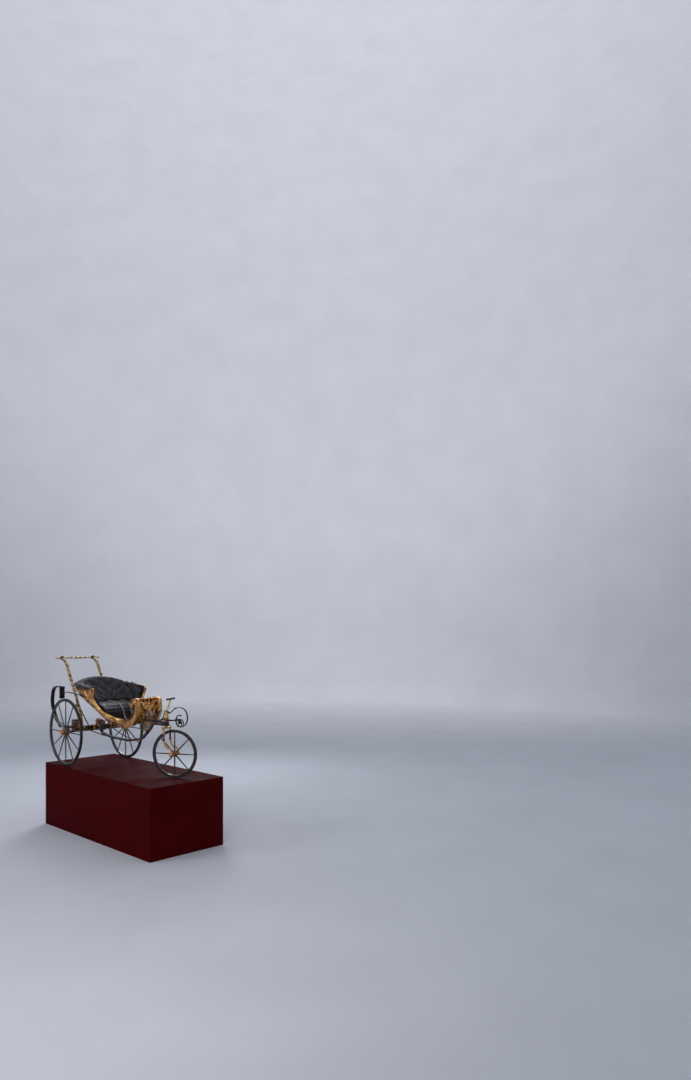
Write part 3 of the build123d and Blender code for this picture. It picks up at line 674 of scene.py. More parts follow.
def band_point(u, v, under):
    """A point of the band on one side: convex, leaved, tapering to nothing at both ends."""
    number = round(u * (len(route) - 1))
    ends = min(1.0, u * band_length / 0.012, (1 - u) * band_length / 0.008) ** 0.5
    wide = route[number].z / 0.026
    leaf_at = u * band_length / (0.074 * (0.45 + 0.55 * wide)) % 1.0
    blade = max(0.05, 1 - leaf_at ** 2.2)
    inside = max(0.0, 1 - (abs(v) / (0.74 * blade)) ** 2)
    crown = max(0.0, 1 - abs(v) ** 2.4) ** 0.5
    vein = 0.5 + 0.5 * math.cos(2 * math.pi * (leaf_at * 4 + abs(v) * 1.6))
    groove = ridge(v, 0.0, 0.07)
    lip = ridge(v, 0.84, 0.1)
    leafy = ramp(-u, -0.56, 0.14)
    foliage = inside ** 0.5 * (0.55 + 0.45 * (1 - leaf_at)) * leafy
    ridges = (ridge(v, 0.22, 0.3) + 0.6 * ridge(v, -0.58, 0.13)) * (1 - leafy)
    raised = 0.0064 * crown + (0.0056 - 0.0013 * vein - 0.0016 * groove) * foliage + 0.003 * lip
    raised += 0.0036 * ridges * min(1.0, wide)
    # The level paints highlight on the leaves' crowns, the lip and the two ridges, and shade in the veins and
    # the middle groove.
    level = 0.25 + foliage * (0.75 - 0.3375 * vein - 0.35 * groove) + 0.8 * lip + 0.62 * ridges
    spiral = max(0.0, (u * band_length - band_length + 0.16) / 0.16)
    out = between(swells, u) + between(leans, u) * v * ends * 0.9 + spiral * 0.006
    if under:
        out -= 0.01 + 0.022 * ramp(u, 0.62, 0.06)
        raised = 0.0
    x, z = beside(number, 2, v * ends)
    return at(x, side * (out + raised * ends), z), min(1.0, level)


route = even_line(smooth_line(band_route, 5), band_step)
band_length = band_step * (len(route) - 1)
for side, name in ((-1, "right"), (1, "left")):
    outward = leftwards * side
    ground = tree_of("body_shell", "rim_moulding_" + name, "front_scroll_" + name)
    # How far out the band's middle lies along the route, as the tub's side swells and narrows
    swells = []
    for x, z, half in route:
        hit = ground.ray_cast(at(x, side * 0.5, z), -outward)[0]
        swells.append(abs(hit.y) if hit and abs(hit.y) > 0.06 else swells[-1])
    # How much further out its upper edge lies than its lower one
    leans = []
    for number, middle in enumerate(swells):
        edge = []
        for v in (-0.6, 0.6):
            x, z = beside(number, 4, v)
            hit = ground.ray_cast(at(x, side * 0.5, z), -outward)[0]
            edge.append(abs(hit.y) if hit and abs(abs(hit.y) - middle) < 0.02 else middle)
        leans.append((edge[1] - edge[0]) / 1.2)
    swells = averaged(swells, 9)
    leans = averaged(leans, 9)
    # The eye of the volute, with a rosette of petals round it
    bm = bmesh.new()
    eye = at(0.253, side * 0.112, 0.5655)
    ball(bm, eye, 0.0115, 0.75, outward, 20)
    for ray in rays(7, outward, upwards):
        ball(bm, eye + ray * 0.0095 + outward * 0.004, 0.0042, 0.6, outward, 8)
    # The string of beads lies in the hollow of the lower edge
    bead_steps = round(band_length / 0.0088)
    halves = [point.z for point in route]
    for number in range(3, bead_steps - 14):
        u = number / bead_steps
        spot, _ = band_point(u, -0.93, False)
        bead = 0.0031 * (0.6 + 0.4 * min(1.0, between(halves, u) / 0.026))
        ball(bm, spot + outward * 0.0008, bead, 0.8, outward, 8)
    # Husks one below the other cover the board's end where it shows beside the dash
    for number in range(25):
        u = 0.655 + 0.0098 * number
        spot, _ = band_point(u, -1.0, False)
        ahead, _ = band_point(u + 0.01, -1.0, False)
        run = (ahead - spot).normalized()
        out = run.cross(outward) * side
        out = out if out.x > 0 or out.z < 0 else -out
        middle = spot - outward * 0.0165
        petal(bm, middle + out * 0.0012, run, out, 0.015, 0.0085, 0.0038)
        for across in (-outward, outward):
            petal(bm, middle + across * 0.0072 + out * 0.001, run + across * 0.7, out, 0.0115, 0.005, 0.0028)
    # A gilt cord rolls over the edge of the board, from the wing's top to the foot well
    cord = []
    for number in range(round(0.66 * len(route))):
        edge, _ = band_point(number / (len(route) - 1), 1.0, False)
        cord.append(edge - outward * 0.0085)
    cord = averaged(cord, 8, Vector((0, 0, 0)))
    tip = [at(x, side * 0.2385, z) for x, z in wing_tip]
    cord = smooth_line(tip) + [point for point in cord if point.z < deck + 0.628]
    sweep(bm, even_line(cord, 0.004), 0.0082, 12, 0.85, up=outward, fade=0.03)
    level_all(bm, 0.78)
    carved(bm, len(route) - 1, 30, band_point)
    band = fasten(bm, "rim_carving_" + name, leaf_gilt)
    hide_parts("rim_moulding_" + name, "front_scroll_" + name)

# Leather.
# Black hide over horsehair, dulled with age. It is painted grey along its creases, partly as
# wear and partly as painted highlight, and on the roll's upward faces as rub and painted sheen;
# a per-point level holds how much grey each point takes.
hide, shader, place = new_finish("black_hide", Coat_Roughness=0.3)
hide_cells = place.cells(560.0).clear(0.0, 0.12)
hide_cloud = place.noise(24.0, 5.0, 0.65).clear(0.35, 0.72)
hide_crackle = place.noise(190.0, 4.0, 0.7).clear(0.52, 0.66)
hide_base = hide_cloud.mix(tone(17, 16, 20), tone(30, 29, 35))
hide_wear_and_sheen = (painted_light_and_wear_of(place) * (0.65 + hide_crackle * 0.35)).clear(0.1, 0.95)
drive(shader, Base_Color=(hide_wear_and_sheen * 0.8).mix(hide_base, tone(132, 131, 142)),
      Roughness=0.46 + hide_cloud * 0.12 + hide_wear_and_sheen * 0.15, Coat_Weight=0.16 - hide_wear_and_sheen * 0.14,
      bump=hide_cells * 0.6 + hide_crackle * 0.4 + hide_cloud * 0.8, bump_distance=0.0007, bump_strength=0.55)

# Back and wing squab.
# One buttoned horsehair pad round the back and both wings, in diamonds about 120 mm wide,
# with a plain stuffed roll along its top over the edge of the tub.
crown_middle = deck + 0.744
crown_drop = 0.093 / 0.3 ** 2
roll_height = 0.030
bend_x = -0.27
bend_radius = 0.205
diamond_wide = 0.124
diamond_tall = 0.118
diamond_foot = 0.535
pleat_depth = 0.015


def settled(thing):
    """The thing's mesh with its modifiers applied."""
    bpy.context.view_layer.update()
    graph = bpy.context.evaluated_depsgraph_get()
    return bpy.data.meshes.new_from_object(thing.evaluated_get(graph))


def puffed(node, name, draw_in, voxel, cap, held):
    """A stuffed piece grown from a solid: drawn in, remeshed, and blown up as cloth where it isn't held."""
    bm = bmesh.new()
    bm.from_mesh(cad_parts[node].data)
    bmesh.ops.remove_doubles(bm, verts=bm.verts, dist=1e-5)
    bmesh.ops.recalc_face_normals(bm, faces=bm.faces)
    for vert, normal in [(vert, vert.normal.copy()) for vert in bm.verts]:
        vert.co -= normal * draw_in
    pad = object_of(bm, name)
    remesh = pad.modifiers.new("remesh", "REMESH")
    remesh.mode = "VOXEL"
    remesh.voxel_size = voxel
    pad.data = settled(pad)
    pad.modifiers.clear()
    bm = bmesh.new()
    bm.from_mesh(pad.data)
    every_way = {"use_axis_x": True, "use_axis_y": True, "use_axis_z": True}
    for _ in range(3):
        bmesh.ops.smooth_vert(bm, verts=bm.verts, factor=0.5, **every_way)
    bm.normal_update()
    bm.to_mesh(pad.data)
    start = [vert.co.copy() for vert in bm.verts]
    fixed = [vert.index for vert in bm.verts if held(vert.co, vert.normal)]
    bm.free()
    group = pad.vertex_groups.new(name="held")
    group.add(fixed, 1.0, "REPLACE")
    cloth = pad.modifiers.new("air", "CLOTH")
    cloth.settings.use_pressure = True
    cloth.settings.uniform_pressure_force = 4.0
    cloth.settings.effector_weights.gravity = 0.0
    cloth.settings.vertex_group_mass = "held"
    scene = bpy.context.scene
    for number in range(1, 21):
        scene.frame_set(number)
    blown = settled(pad)
    for index, vert in enumerate(pad.data.vertices):
        move = blown.vertices[index].co - start[index]
        vert.co = start[index] + move * min(1.0, cap / max(move.length, 1e-6))
    pad.modifiers.clear()
    pad.vertex_groups.clear()
    scene.frame_set(1)
    bpy.data.meshes.remove(blown)
    finer = pad.modifiers.new("finer", "SUBSURF")
    finer.levels = 1
    finer.render_levels = 1
    pad.data = settled(pad)
    pad.modifiers.clear()
    return pad


def shaping(pad):
    """A bmesh of the pad to shape, and a new layer for its painted light and wear."""
    bm = bmesh.new()
    bm.from_mesh(pad.data)
    bm.normal_update()
    return bm, bm.verts.layers.float.new("painted_light_and_wear")


def upholster(pad, bm, node):
    """Write the shaped pad back, and cover it with hide in place of its solid."""
    soften(bm)
    bm.to_mesh(pad.data)
    bm.free()
    dress(pad, hide)
    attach(pad, "carriage")
    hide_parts(node)


def crown_at(y):
    """Height of the back's arched top at a distance from the middle."""
    return crown_middle - crown_drop * y * y


def faces_seat(co, normal):
    """How squarely a point of the squab looks at the seat, from 0 to 1."""
    return ramp(normal.dot(Vector((-0.08 - co.x, -co.y, 0.0)).normalized()), 0.1, 0.3)


def pleat(co):
    """Diamond coordinates of a point: round the back, and up it."""
    if co.x > bend_x:
        around = bend_radius * math.pi / 2 + co.x - bend_x
        steep = 1.08
    else:
        angle = math.atan2(abs(co.y), bend_x - co.x)
        around = bend_radius * angle
        steep = 1.38 - 0.30 * (angle / (math.pi / 2)) ** 2
    across = math.copysign(around, co.y) / diamond_wide
    up = (co.z - deck - diamond_foot) * steep / diamond_tall
    return across, up


squab = puffed("back_squab", "back_squab_hide", 0.0035, 0.0062, 0.007,
               lambda co, normal: faces_seat(co, normal) < 0.02 and co.z < crown_at(co.y) - 0.035)
bm, layer = shaping(squab)
for vert in bm.verts:
    # The roll narrows and sinks towards the front of each wing, and its end leans back
    forward = ramp(vert.co.x, -0.33, 0.13)
    forward = forward * forward * (3 - 2 * forward)
    high = ramp(vert.co.z - deck, 0.59, 0.07)
    over = max(0.0, abs(vert.co.y) - 0.243)
    vert.co.y -= math.copysign(over * 0.9 * forward, vert.co.y)
    vert.co.z -= 0.016 * forward * high * high
    vert.co.x -= 0.02 * high * ramp(vert.co.x, -0.235, 0.05)
bm.normal_update()
buttons = {}
moves = []
for vert in bm.verts:
    inward = faces_seat(vert.co, vert.normal)
    below_roll = ramp(crown_at(vert.co.y) - vert.co.z, 0.01, 0.018)
    across, up = pleat(vert.co)
    one, two = across + up, across - up
    swell = (abs(math.sin(math.pi * one)) * abs(math.sin(math.pi * two))) ** 0.42
    roll = 1.0 - below_roll
    off_end = ramp(-vert.co.x, 0.188, 0.04)
    tuft = (swell - 0.72) * pleat_depth * inward * below_roll * off_end
    gather = 0.0007 * math.cos(2 * math.pi * across * 4) * roll
    wrinkle = 0.0009 * math.sin(vert.co.x * 160 + math.sin(vert.co.y * 90) * 2 + vert.co.z * 70)
    moves.append((vert, vert.normal * (tuft + gather + wrinkle * (0.4 + 0.6 * inward))))
    # Grey painted into the pleats' folds is partly wear and partly painted highlight; grey on the roll where
    # it faces up is rub and painted sheen.
    folded = max(0.0, 1 - swell / 0.5) ** 0.8 * inward * below_roll
    vert[layer] = folded + 0.7 * roll * max(0.0, vert.normal.z) ** 0.7
    # A button sits at the vertex nearest to each crossing of the pleats
    key = (round(one), round(two))
    miss = abs(one - key[0]) + abs(two - key[1])
    if inward > 0.9 and below_roll > 0.9 and miss < 0.12 and (key not in buttons or miss < buttons[key][0]):
        buttons[key] = (miss, vert)
for vert, move in moves:
    vert.co += move
bm.normal_update()
spots = [(vert.co.copy(), vert.normal.copy()) for _, vert in buttons.values()]
upholster(squab, bm, "back_squab")
bm = bmesh.new()
for spot, normal in spots:
    ball(bm, spot + normal * 0.001, 0.0075, 0.5, normal, 14)
level_all(bm, 0.15)
fasten(bm, "squab_buttons", hide)

# Seat cushion.
# A loose boxed cushion that fills the tub behind the foot well, crowned by its stuffing,
# with a corded edge along its front and a flap of hide below it over the seat board.
board_wood, shader, place = new_finish("stained_seat_board")
board_grain = place.node("ShaderNodeVectorMath", {"operation": "MULTIPLY"}, {0: place, 1: (30.0, 3.0, 30.0)})
board_line = board_grain.noise(4.0, 5.0, 0.7).clear(0.35, 0.7)
drive(shader, Base_Color=board_line.mix(tone(52, 32, 22), tone(84, 54, 36)), Roughness=0.5 + board_line * 0.2,
      bump=board_line + place.noise(300.0, 2.0) * 0.3)
dress(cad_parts["seat_board"], board_wood)
cushion = puffed("seat_cushion", "seat_cushion_hide", 0.003, 0.0055, 0.008,
                 lambda co, normal: normal.z < -0.6)
bm, layer = shaping(cushion)
for vert, normal in [(vert, vert.normal.copy()) for vert in bm.verts]:
    top = max(0.0, normal.z)
    sat_on = math.exp(-((vert.co.x + 0.21) / 0.09) ** 2 - (vert.co.y / 0.12) ** 2)
    radial = math.sin(38 * math.atan2(vert.co.y, vert.co.x + 0.36) + 60 * vert.co.x)
    front = ramp(vert.co.x, -0.19, 0.06)
    vert.co += normal * top * (0.001 * radial * front - 0.005 * sat_on)
    # Wrinkle crests near the front that face up are greyed as painted highlight.
    vert[layer] = max(0.0, 0.25 * front * top * max(0.0, radial))
upholster(cushion, bm, "seat_cushion")

cushion_tree = BVHTree.FromObject(cushion, bpy.context.evaluated_depsgraph_get())
tub_tree = tree_of("body_shell")
piping = []
for number in range(41):
    y = -0.15 + 0.3 * number / 40
    hit = cushion_tree.ray_cast(at(-0.11, y, 0.7), -upwards)[0]
    if hit:
        piping.append(Vector((-0.106, y, hit.z + 0.0008)))
bm = bmesh.new()
sweep(bm, piping, 0.0036)
level_all(bm, 0.75)
fasten(bm, "cushion_piping", hide)

# The flap: one thin hide nailed along the board's edge, as wide as the tub is there
flap_x = -0.1065
flap_foot = 0.392
flap_tall = 0.0665
bm = bmesh.new()
grid = bmesh.ops.create_grid(bm, x_segments=46, y_segments=14, size=1.0)
for vert in grid["verts"]:
    share = (vert.co.y + 1) / 2
    z = flap_foot + share * flap_tall
    wall_at = tub_tree.ray_cast(at(flap_x, 0, z), leftwards)[0]
    y = vert.co.x * ((wall_at.y if wall_at else 0.1) - 0.0015)
    vert.co = at(flap_x + 0.001 * math.sin(y * 120) * (1 - share), y, z)
flap_area = sum(face.calc_area() for face in bm.faces)
bmesh.ops.recalc_face_normals(bm, faces=bm.faces)
bmesh.ops.solidify(bm, geom=bm.faces, thickness=0.0018)
level_all(bm, 0.1)
flap = fasten(bm, "seat_flap", hide)

# Carved leaves.
# Fronds of acanthus in gilded lime wood, glued on the tub's sides, back and dash, each with
# a raised spine, lobed edges and a tip that curls off the board.

# Each face of the tub: the way to look at it, where to stand, and the way along it
tub_faces = {
    "right": (leftwards, leftwards * -0.6, forwards),
    "left": (-leftwards, leftwards * 0.6, forwards),
    "back": (forwards, -forwards, leftwards),
    "front": (-forwards, forwards * 0.6, leftwards),
    "corner_right": (Vector((-0.7071, 0.7071, 0)), Vector((0.6, -0.6, 0)), Vector((0.7071, 0.7071, 0))),
    "corner_left": (Vector((-0.7071, -0.7071, 0)), Vector((0.6, 0.6, 0)), Vector((0.7071, -0.7071, 0))),
}


def frond(bm, way, spine, wide, high, lobes):
    """One leaf on the tub: laid along its spine, given as places along the face and heights."""
    aim, far, along = tub_faces[way]
    line = even_line(smooth_line(spine), 0.003)
    last = [0.0]

    def lay(u, v, under):
        spot = u * (len(line) - 1)
        low = min(int(spot), len(line) - 2)
        here = line[low].lerp(line[low + 1], spot - low)
        run = (line[min(low + 3, len(line) - 1)] - line[max(low - 2, 0)]).normalized()
        shape = max(0.0, math.sin(math.pi * min(1.0, u ** 0.72))) ** 0.62
        half = wide * shape * (0.62 + 0.38 * abs(math.sin(math.pi * lobes * u)) ** 0.6)
        on_face = along * (here[0] - run[1] * half * v) + at(0, 0, here[1] + run[0] * half * v)
        start = far + on_face
        hit = tub_tree.ray_cast(start, aim)[0]
        if hit is None or (hit - start).length > far.length:
            hit = on_face + aim * last[0]
        last[0] = hit.dot(aim)
        dome = max(0.0, 1 - v * v) ** 0.55
        spine_ridge = ridge(v, 0.0, 0.13)
        vein = (0.5 + 0.5 * math.cos(2 * math.pi * (lobes * u - abs(v) * 0.7))) * (1 - spine_ridge)
        curl = max(0.0, (u - 0.72) / 0.28) ** 2
        rise = high * shape * (0.55 * dome + 0.35 * spine_ridge - 0.2 * vein * dome)
        rise += 0.5 * high * curl * dome
        # The level paints highlight on the leaf's dome and spine and shade in its veins.
        level = min(1.0, 0.15 + 0.6 * dome + 0.4 * spine_ridge - 0.45 * vein)
        return hit - aim * (-0.003 if under else rise), max(0.0, level)

    carved(bm, max(24, round(len(line) * 1.3)), 14, lay)


# Leaves of each face: the spine's places along the face and heights, the leaf's half width,
# its rise and the number of its lobes
side_leaves = [
    ([(-0.226, 0.58), (-0.262, 0.612), (-0.33, 0.626), (-0.4, 0.63), (-0.456, 0.638)], 0.0265, 0.015, 6),
    ([(-0.222, 0.548), (-0.256, 0.572), (-0.305, 0.576), (-0.35, 0.576), (-0.392, 0.59)], 0.0215, 0.013, 5),
    ([(-0.2, 0.516), (-0.23, 0.536), (-0.266, 0.538), (-0.298, 0.536), (-0.328, 0.546)], 0.0175, 0.011, 5),
    ([(-0.16, 0.478), (-0.188, 0.496), (-0.214, 0.496), (-0.236, 0.493), (-0.256, 0.501)], 0.0135, 0.009, 4),
    ([(-0.108, 0.446), (-0.13, 0.46), (-0.15, 0.46), (-0.168, 0.459), (-0.182, 0.464)], 0.0095, 0.007, 4),
    ([(-0.244, 0.556), (-0.256, 0.594), (-0.262, 0.628), (-0.288, 0.645)], 0.015, 0.017, 4),
]
back_leaves = [
    ([(0.0, 0.534), (0.0, 0.59), (0.0, 0.65)], 0.026, 0.014, 4),
    ([(0.014, 0.54), (0.038, 0.596), (0.062, 0.634), (0.046, 0.672), (0.022, 0.664)], 0.019, 0.012, 5),
    ([(0.02, 0.526), (0.072, 0.552), (0.116, 0.594), (0.122, 0.64), (0.088, 0.654)], 0.021, 0.012, 6),
    ([(0.018, 0.512), (0.076, 0.51), (0.128, 0.528), (0.168, 0.57), (0.172, 0.618)], 0.019, 0.011, 6),
    ([(0.012, 0.498), (0.044, 0.474), (0.082, 0.47), (0.112, 0.488)], 0.015, 0.009, 5),
    ([(0.0, 0.506), (0.0, 0.47), (0.0, 0.424)], 0.02, 0.01, 4),
]
front_leaves = [
    ([(0.018, 0.5), (0.034, 0.548), (0.06, 0.574), (0.086, 0.592)], 0.02, 0.016, 5),
    ([(0.02, 0.47), (0.05, 0.494), (0.074, 0.522), (0.094, 0.56)], 0.019, 0.015, 5),
    ([(0.018, 0.452), (0.048, 0.44), (0.078, 0.462), (0.096, 0.5)], 0.017, 0.013, 5),
    ([(0.012, 0.44), (0.036, 0.414), (0.066, 0.412), (0.088, 0.436)], 0.012, 0.01, 4),
    ([(0.006, 0.48), (0.014, 0.53), (0.028, 0.566), (0.038, 0.592)], 0.015, 0.02, 4),
    ([(0.0, 0.462), (0.0, 0.43), (0.0, 0.404)], 0.017, 0.015, 4),
    ([(0.0, 0.472), (0.0, 0.53), (0.0, 0.594)], 0.02, 0.024, 5),
]
corner_leaves = [
    ([(0.121, 0.42), (0.128, 0.466), (0.124, 0.512), (0.121, 0.566)], 0.0155, 0.011, 6),
    ([(0.121, 0.52), (0.124, 0.556), (0.121, 0.59)], 0.0135, 0.012, 4),
]
leaf_table = {"right": side_leaves, "left": side_leaves, "back": back_leaves, "front": front_leaves}
# Volutes between the leaves: place along the face, height, size, and the angle each starts from
volute_table = {
    "front": [(0.05, 0.533, 0.015, 60), (0.062, 0.48, 0.0125, 20), (0.04, 0.468, 0.011, 200),
              (0.07, 0.574, 0.011, 120), (0.02, 0.56, 0.0105, 250), (0.056, 0.43, 0.0105, 0)],
    "back": [(0.06, 0.534, 0.015, 40), (0.082, 0.606, 0.015, 90), (0.126, 0.552, 0.012, 150),
             (0.05, 0.498, 0.011, 220), (0.148, 0.604, 0.012, 60)],
}
boss_height = {"back": 0.516, "front": 0.462}


def narrowing(thick, thin):
    """A sweep's radius that goes from thick to thin."""
    return lambda share: thick - (thick - thin) * share


for way in ("right", "left", "back", "front"):
    bm = bmesh.new()
    for spine, wide, high, lobes in leaf_table[way]:
        frond(bm, way, spine, wide, high, lobes)
        if way in boss_height and spine[0][0] > 0:
            frond(bm, way, [(-a, z) for a, z in spine], wide, high, lobes)
    if way == "front":
        for corner in ("corner_right", "corner_left"):
            for leaf in corner_leaves:
                frond(bm, corner, *leaf)
    if way in boss_height:
        aim, far, along = tub_faces[way]
        # Small volutes and berries fill the ground between the leaves
        filling = bmesh.new()
        for side in (-1, 1):
            for a, z, size, first in volute_table[way]:
                curl = []
                for number in range(25):
                    share = number / 24
                    angle = math.radians(first) + 2 * math.pi * 1.3 * share
                    reach = size * (1 - 0.8 * share)
                    on_face = at(0, 0, z + reach * math.sin(angle))
                    on_face += along * side * (a + reach * math.cos(angle))
                    hit = tub_tree.ray_cast(far + on_face, aim)[0]
                    if hit and abs(hit.x - far.x) < 0.62:
                        curl.append(hit - aim * (0.0065 + 0.0045 * share))
                if len(curl) > 20:
                    sweep(filling, even_line(curl, 0.003), narrowing(0.0042, 0.0028), 8)
                    ball(filling, curl[-1] - aim * 0.002, 0.004, fine=10)
        level_all(filling, 0.82)
        take_in(bm, filling)
        # A turned boss covers the point that the fronds spring from
        hit = tub_tree.ray_cast(far + at(0, 0, boss_height[way]), aim)[0]
        bosses = bmesh.new()
        ball(bosses, hit - aim * 0.004, 0.011, 0.7, aim, 18)
        for ray in rays(8, aim, upwards):
            ball(bosses, hit + ray * 0.0125 - aim * 0.003, 0.0055, 0.6, aim, 10)
        level_all(bosses, 0.9)
        take_in(bm, bosses)
    fasten(bm, "tub_leaves_" + way, leaf_gilt)

# Dash rail and leather nails.
# A rounded gilt rail caps the dash, and gilt-headed nails fix the hide along the tub's edge.
rail_half = 0.093
bm = bmesh.new()
rail = []
for number in range(33):
    y = rail_half * (number / 16 - 1)
    hit = tub_tree.ray_cast(at(0.6, y, 0.592), -forwards)[0]
    rail.append(at(hit.x - 0.0055, y, 0.5975))
sweep(bm, rail, 0.0078, 14, 0.75, fade=0.04)
for point in rail[2:-2:2]:
    ball(bm, point + Vector((0.0065, 0, 0.0018)), 0.003, fine=8)
for side in (-1, 1):
    for y, tall in ((0.014, 0.0136), (0.04, 0.01105), (0.066, 0.0102)):
        foot = rail[16 + round(side * y / rail_half * 16)] + Vector((0.004, 0, 0.004))
        petal(bm, foot, Vector((0.25, side * 0.5, 1)), forwards, tall, 0.0075, 0.004)
level_all(bm, 0.7)
fasten(bm, "dash_rail", leaf_gilt)

nail_span = math.radians(118)
bm = bmesh.new()
for number in range(67):
    angle = nail_span * (number / 33 - 1)
    ray = Vector((-math.cos(angle), math.sin(angle), 0))
    start = Vector((bend_x, 0, crown_at(0.235 * ray.y) - roll_height - 0.01)) + ray * 0.7
    hit, normal = tub_tree.ray_cast(start, -ray)[:2]
    if hit and hit.x < -0.205:
        ball(bm, hit, 0.0046, 0.6, normal, 8)
fasten(bm, "edge_nails", copper_gilt)

# Console.
# A cast and silvered bracket of open scrolls under the dash, which carries the tub's front on
# the perch, with a leaved rim along its front and a turned baluster in its middle.
silver_gilt, shader, place = new_finish("silver_gilding", Metallic=1.0)
silver_dull = place.noise(90.0, 6.0, 0.7).clear(0.40, 0.62)
drive(shader, Base_Color=silver_dull.mix(tone(214, 196, 158), tone(84, 62, 42)),
      Roughness=0.24 + silver_dull * 0.34,
      bump=place.noise(300.0) + silver_dull, bump_distance=0.0004)


def scroll(bm, centre, reach, turns, first, y, radius, sides=10):
    """Sweep a spiral in the upright plane along the carriage: centre, first and last reach, turns."""
    points = []
    for number in range(31):
        share = number / 30
        angle = math.radians(first) + 2 * math.pi * turns * share
        out = reach[0] + (reach[1] - reach[0]) * share
        points.append(at(centre[0] + out * math.cos(angle), y, centre[1] + out * math.sin(angle)))
    sweep(bm, points, radius, sides)


def upright(points, y):
    """A smooth line through the upright plane along the carriage, at one y."""
    return even_line(smooth_line([at(x, y, z) for x, z in points]), 0.004)


rim_route = [(0.286, 0.512), (0.31, 0.496), (0.326, 0.45), (0.328, 0.404), (0.316, 0.362), (0.288, 0.344)]
console_foot = [(0.198, 0.401), (0.179, 0.386), (0.184, 0.352), (0.226, 0.334), (0.262, 0.341)]
low_scrolls = [(0.21, 0.384), (0.287, 0.385)]
console_petals = [(0.2, 0.396, 0.5), (0.304, 0.404, -0.5), (0.222, 0.409, 0.1), (0.274, 0.409, -0.1),
                  (0.248, 0.4, 0.0)]
baluster = [(0.345, 0.011), (0.352, 0.0075), (0.364, 0.0105), (0.376, 0.013), (0.389, 0.0105), (0.4, 0.007),
            (0.409, 0.0105)]
console_rim = upright(rim_route, 0)
bm = bmesh.new()
sweep(bm, console_rim, 0.008, 14, 0.42, up=Vector((1, 0, 0.2)), fade=0.05)
for number in range(2, len(console_rim) - 2, 3):
    spot = console_rim[number]
    run = -run_at(console_rim, number)
    out = Vector((-run.z, 0, run.x))
    out = out if out.x > 0 else -out
    for aside in (-leftwards, leftwards):
        leaf_run = (aside - run) * 0.8 + out * 0.3
        petal(bm, spot + out * 0.0025 + aside * 0.006, leaf_run, out, 0.014, 0.006, 0.0042)
    ball(bm, spot + out * 0.0042, 0.0036, fine=8)
for side in (-1, 1):
    scroll(bm, (0.296, 0.478), (0.027, 0.004), 1.35, -95, side * 0.027, narrowing(0.0046, 0.0028))
    scroll(bm, (0.3, 0.43), (0.019, 0.003), -1.25, 110, side * 0.024, narrowing(0.004, 0.0026))
    ball(bm, at(0.296, side * 0.0275, 0.478), 0.0066, 0.8, leftwards)
for y in (-0.0125, 0.0125):
    sweep(bm, upright(console_foot, y), 0.0042, fade=0.06)
    scroll(bm, low_scrolls[0], (0.024, 0.004), 1.35, 100, y, narrowing(0.004, 0.0026))
    scroll(bm, low_scrolls[1], (0.024, 0.004), -1.35, 80, y, narrowing(0.004, 0.0026))
    scroll(bm, (0.232, 0.358), (0.014, 0.003), 1.2, -40, y, 0.0028, 8)
    scroll(bm, (0.268, 0.361), (0.014, 0.003), -1.2, 220, y, 0.0028, 8)
    scroll(bm, (0.298, 0.451), (0.017, 0.003), 1.3, -80, y * 1.5, narrowing(0.0038, 0.0024))
    scroll(bm, (0.272, 0.458), (0.013, 0.003), -1.2, 200, y * 2.3, narrowing(0.0034, 0.0022))
    for x, z in low_scrolls:
        ball(bm, at(x, y, z), 0.0062, 0.8, leftwards)
    for x, z, tip in console_petals:
        petal(bm, at(x, y, z), Vector((tip, 0, 1)), leftwards, 0.0105, 0.0048, 0.003)
for z, size in baluster:
    ball(bm, at(0.248, 0, z), size, 0.75, fine=16)
console = fasten(bm, "console_scrolls", silver_gilt)
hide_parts("front_console")

# Springs, shackles and braces.
# Black iron leaf springs stand on the bed's blocks and curl over behind the tub; from the
# shackle on each end a stitched leather brace runs to the tub's back.
spring_y = 0.2303
shackle_x = -0.721
second_leaf = [(-0.532, 0.3165), (-0.64, 0.307), (-0.73, 0.3045), (-0.79, 0.324)]
bm = bmesh.new()
for side, name in ((-1, "right"), (1, "left")):
    y = side * spring_y
    dress(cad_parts["rear_spring_" + name], iron)
    dress(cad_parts["spring_shackle_" + name], iron)
    # A shorter second leaf under the spring's foot, clipped to it, and the bolts of the clips
    sweep(bm, upright(second_leaf, y), 0.0135, 12, 0.22, up=upwards, fade=0.06)
    for x, z, tilt in ((-0.6, 0.3165, 0.08), (-0.668, 0.312, 0.06), (-0.735, 0.313, -0.16)):
        moulded_box(bm, at(x, y, z), (0.013, 0.0375, 0.023), 0.0025, Matrix.Rotation(tilt, 3, "Y"))
        for out in (-1, 1):
            ball(bm, at(x, y + out * 0.019, z), 0.0045, 0.6, leftwards * out, 10)
    # On the shackle: cheek plates with bolts, bands round it, and studs before and behind
    for out in (-1, 1):
        for z in (0.566, 0.64):
            moulded_box(bm, at(shackle_x, y + out * 0.0196, z), (0.015, 0.004, 0.022), 0.0016)
            ball(bm, at(shackle_x, y + out * 0.0222, z), 0.0052, 0.55, leftwards * out, 10)
    for z in (0.5565, 0.5875, 0.6275, 0.6535):
        moulded_box(bm, at(shackle_x, y, z), (0.0255, 0.0415, 0.0055), 0.0018)
    for z in (0.575, 0.612, 0.64):
        for out in (1, -1):
            ball(bm, at(shackle_x + out * 0.0105, y, z), 0.005, 0.5, forwards * out, 10)
fasten(bm, "spring_clips", iron)

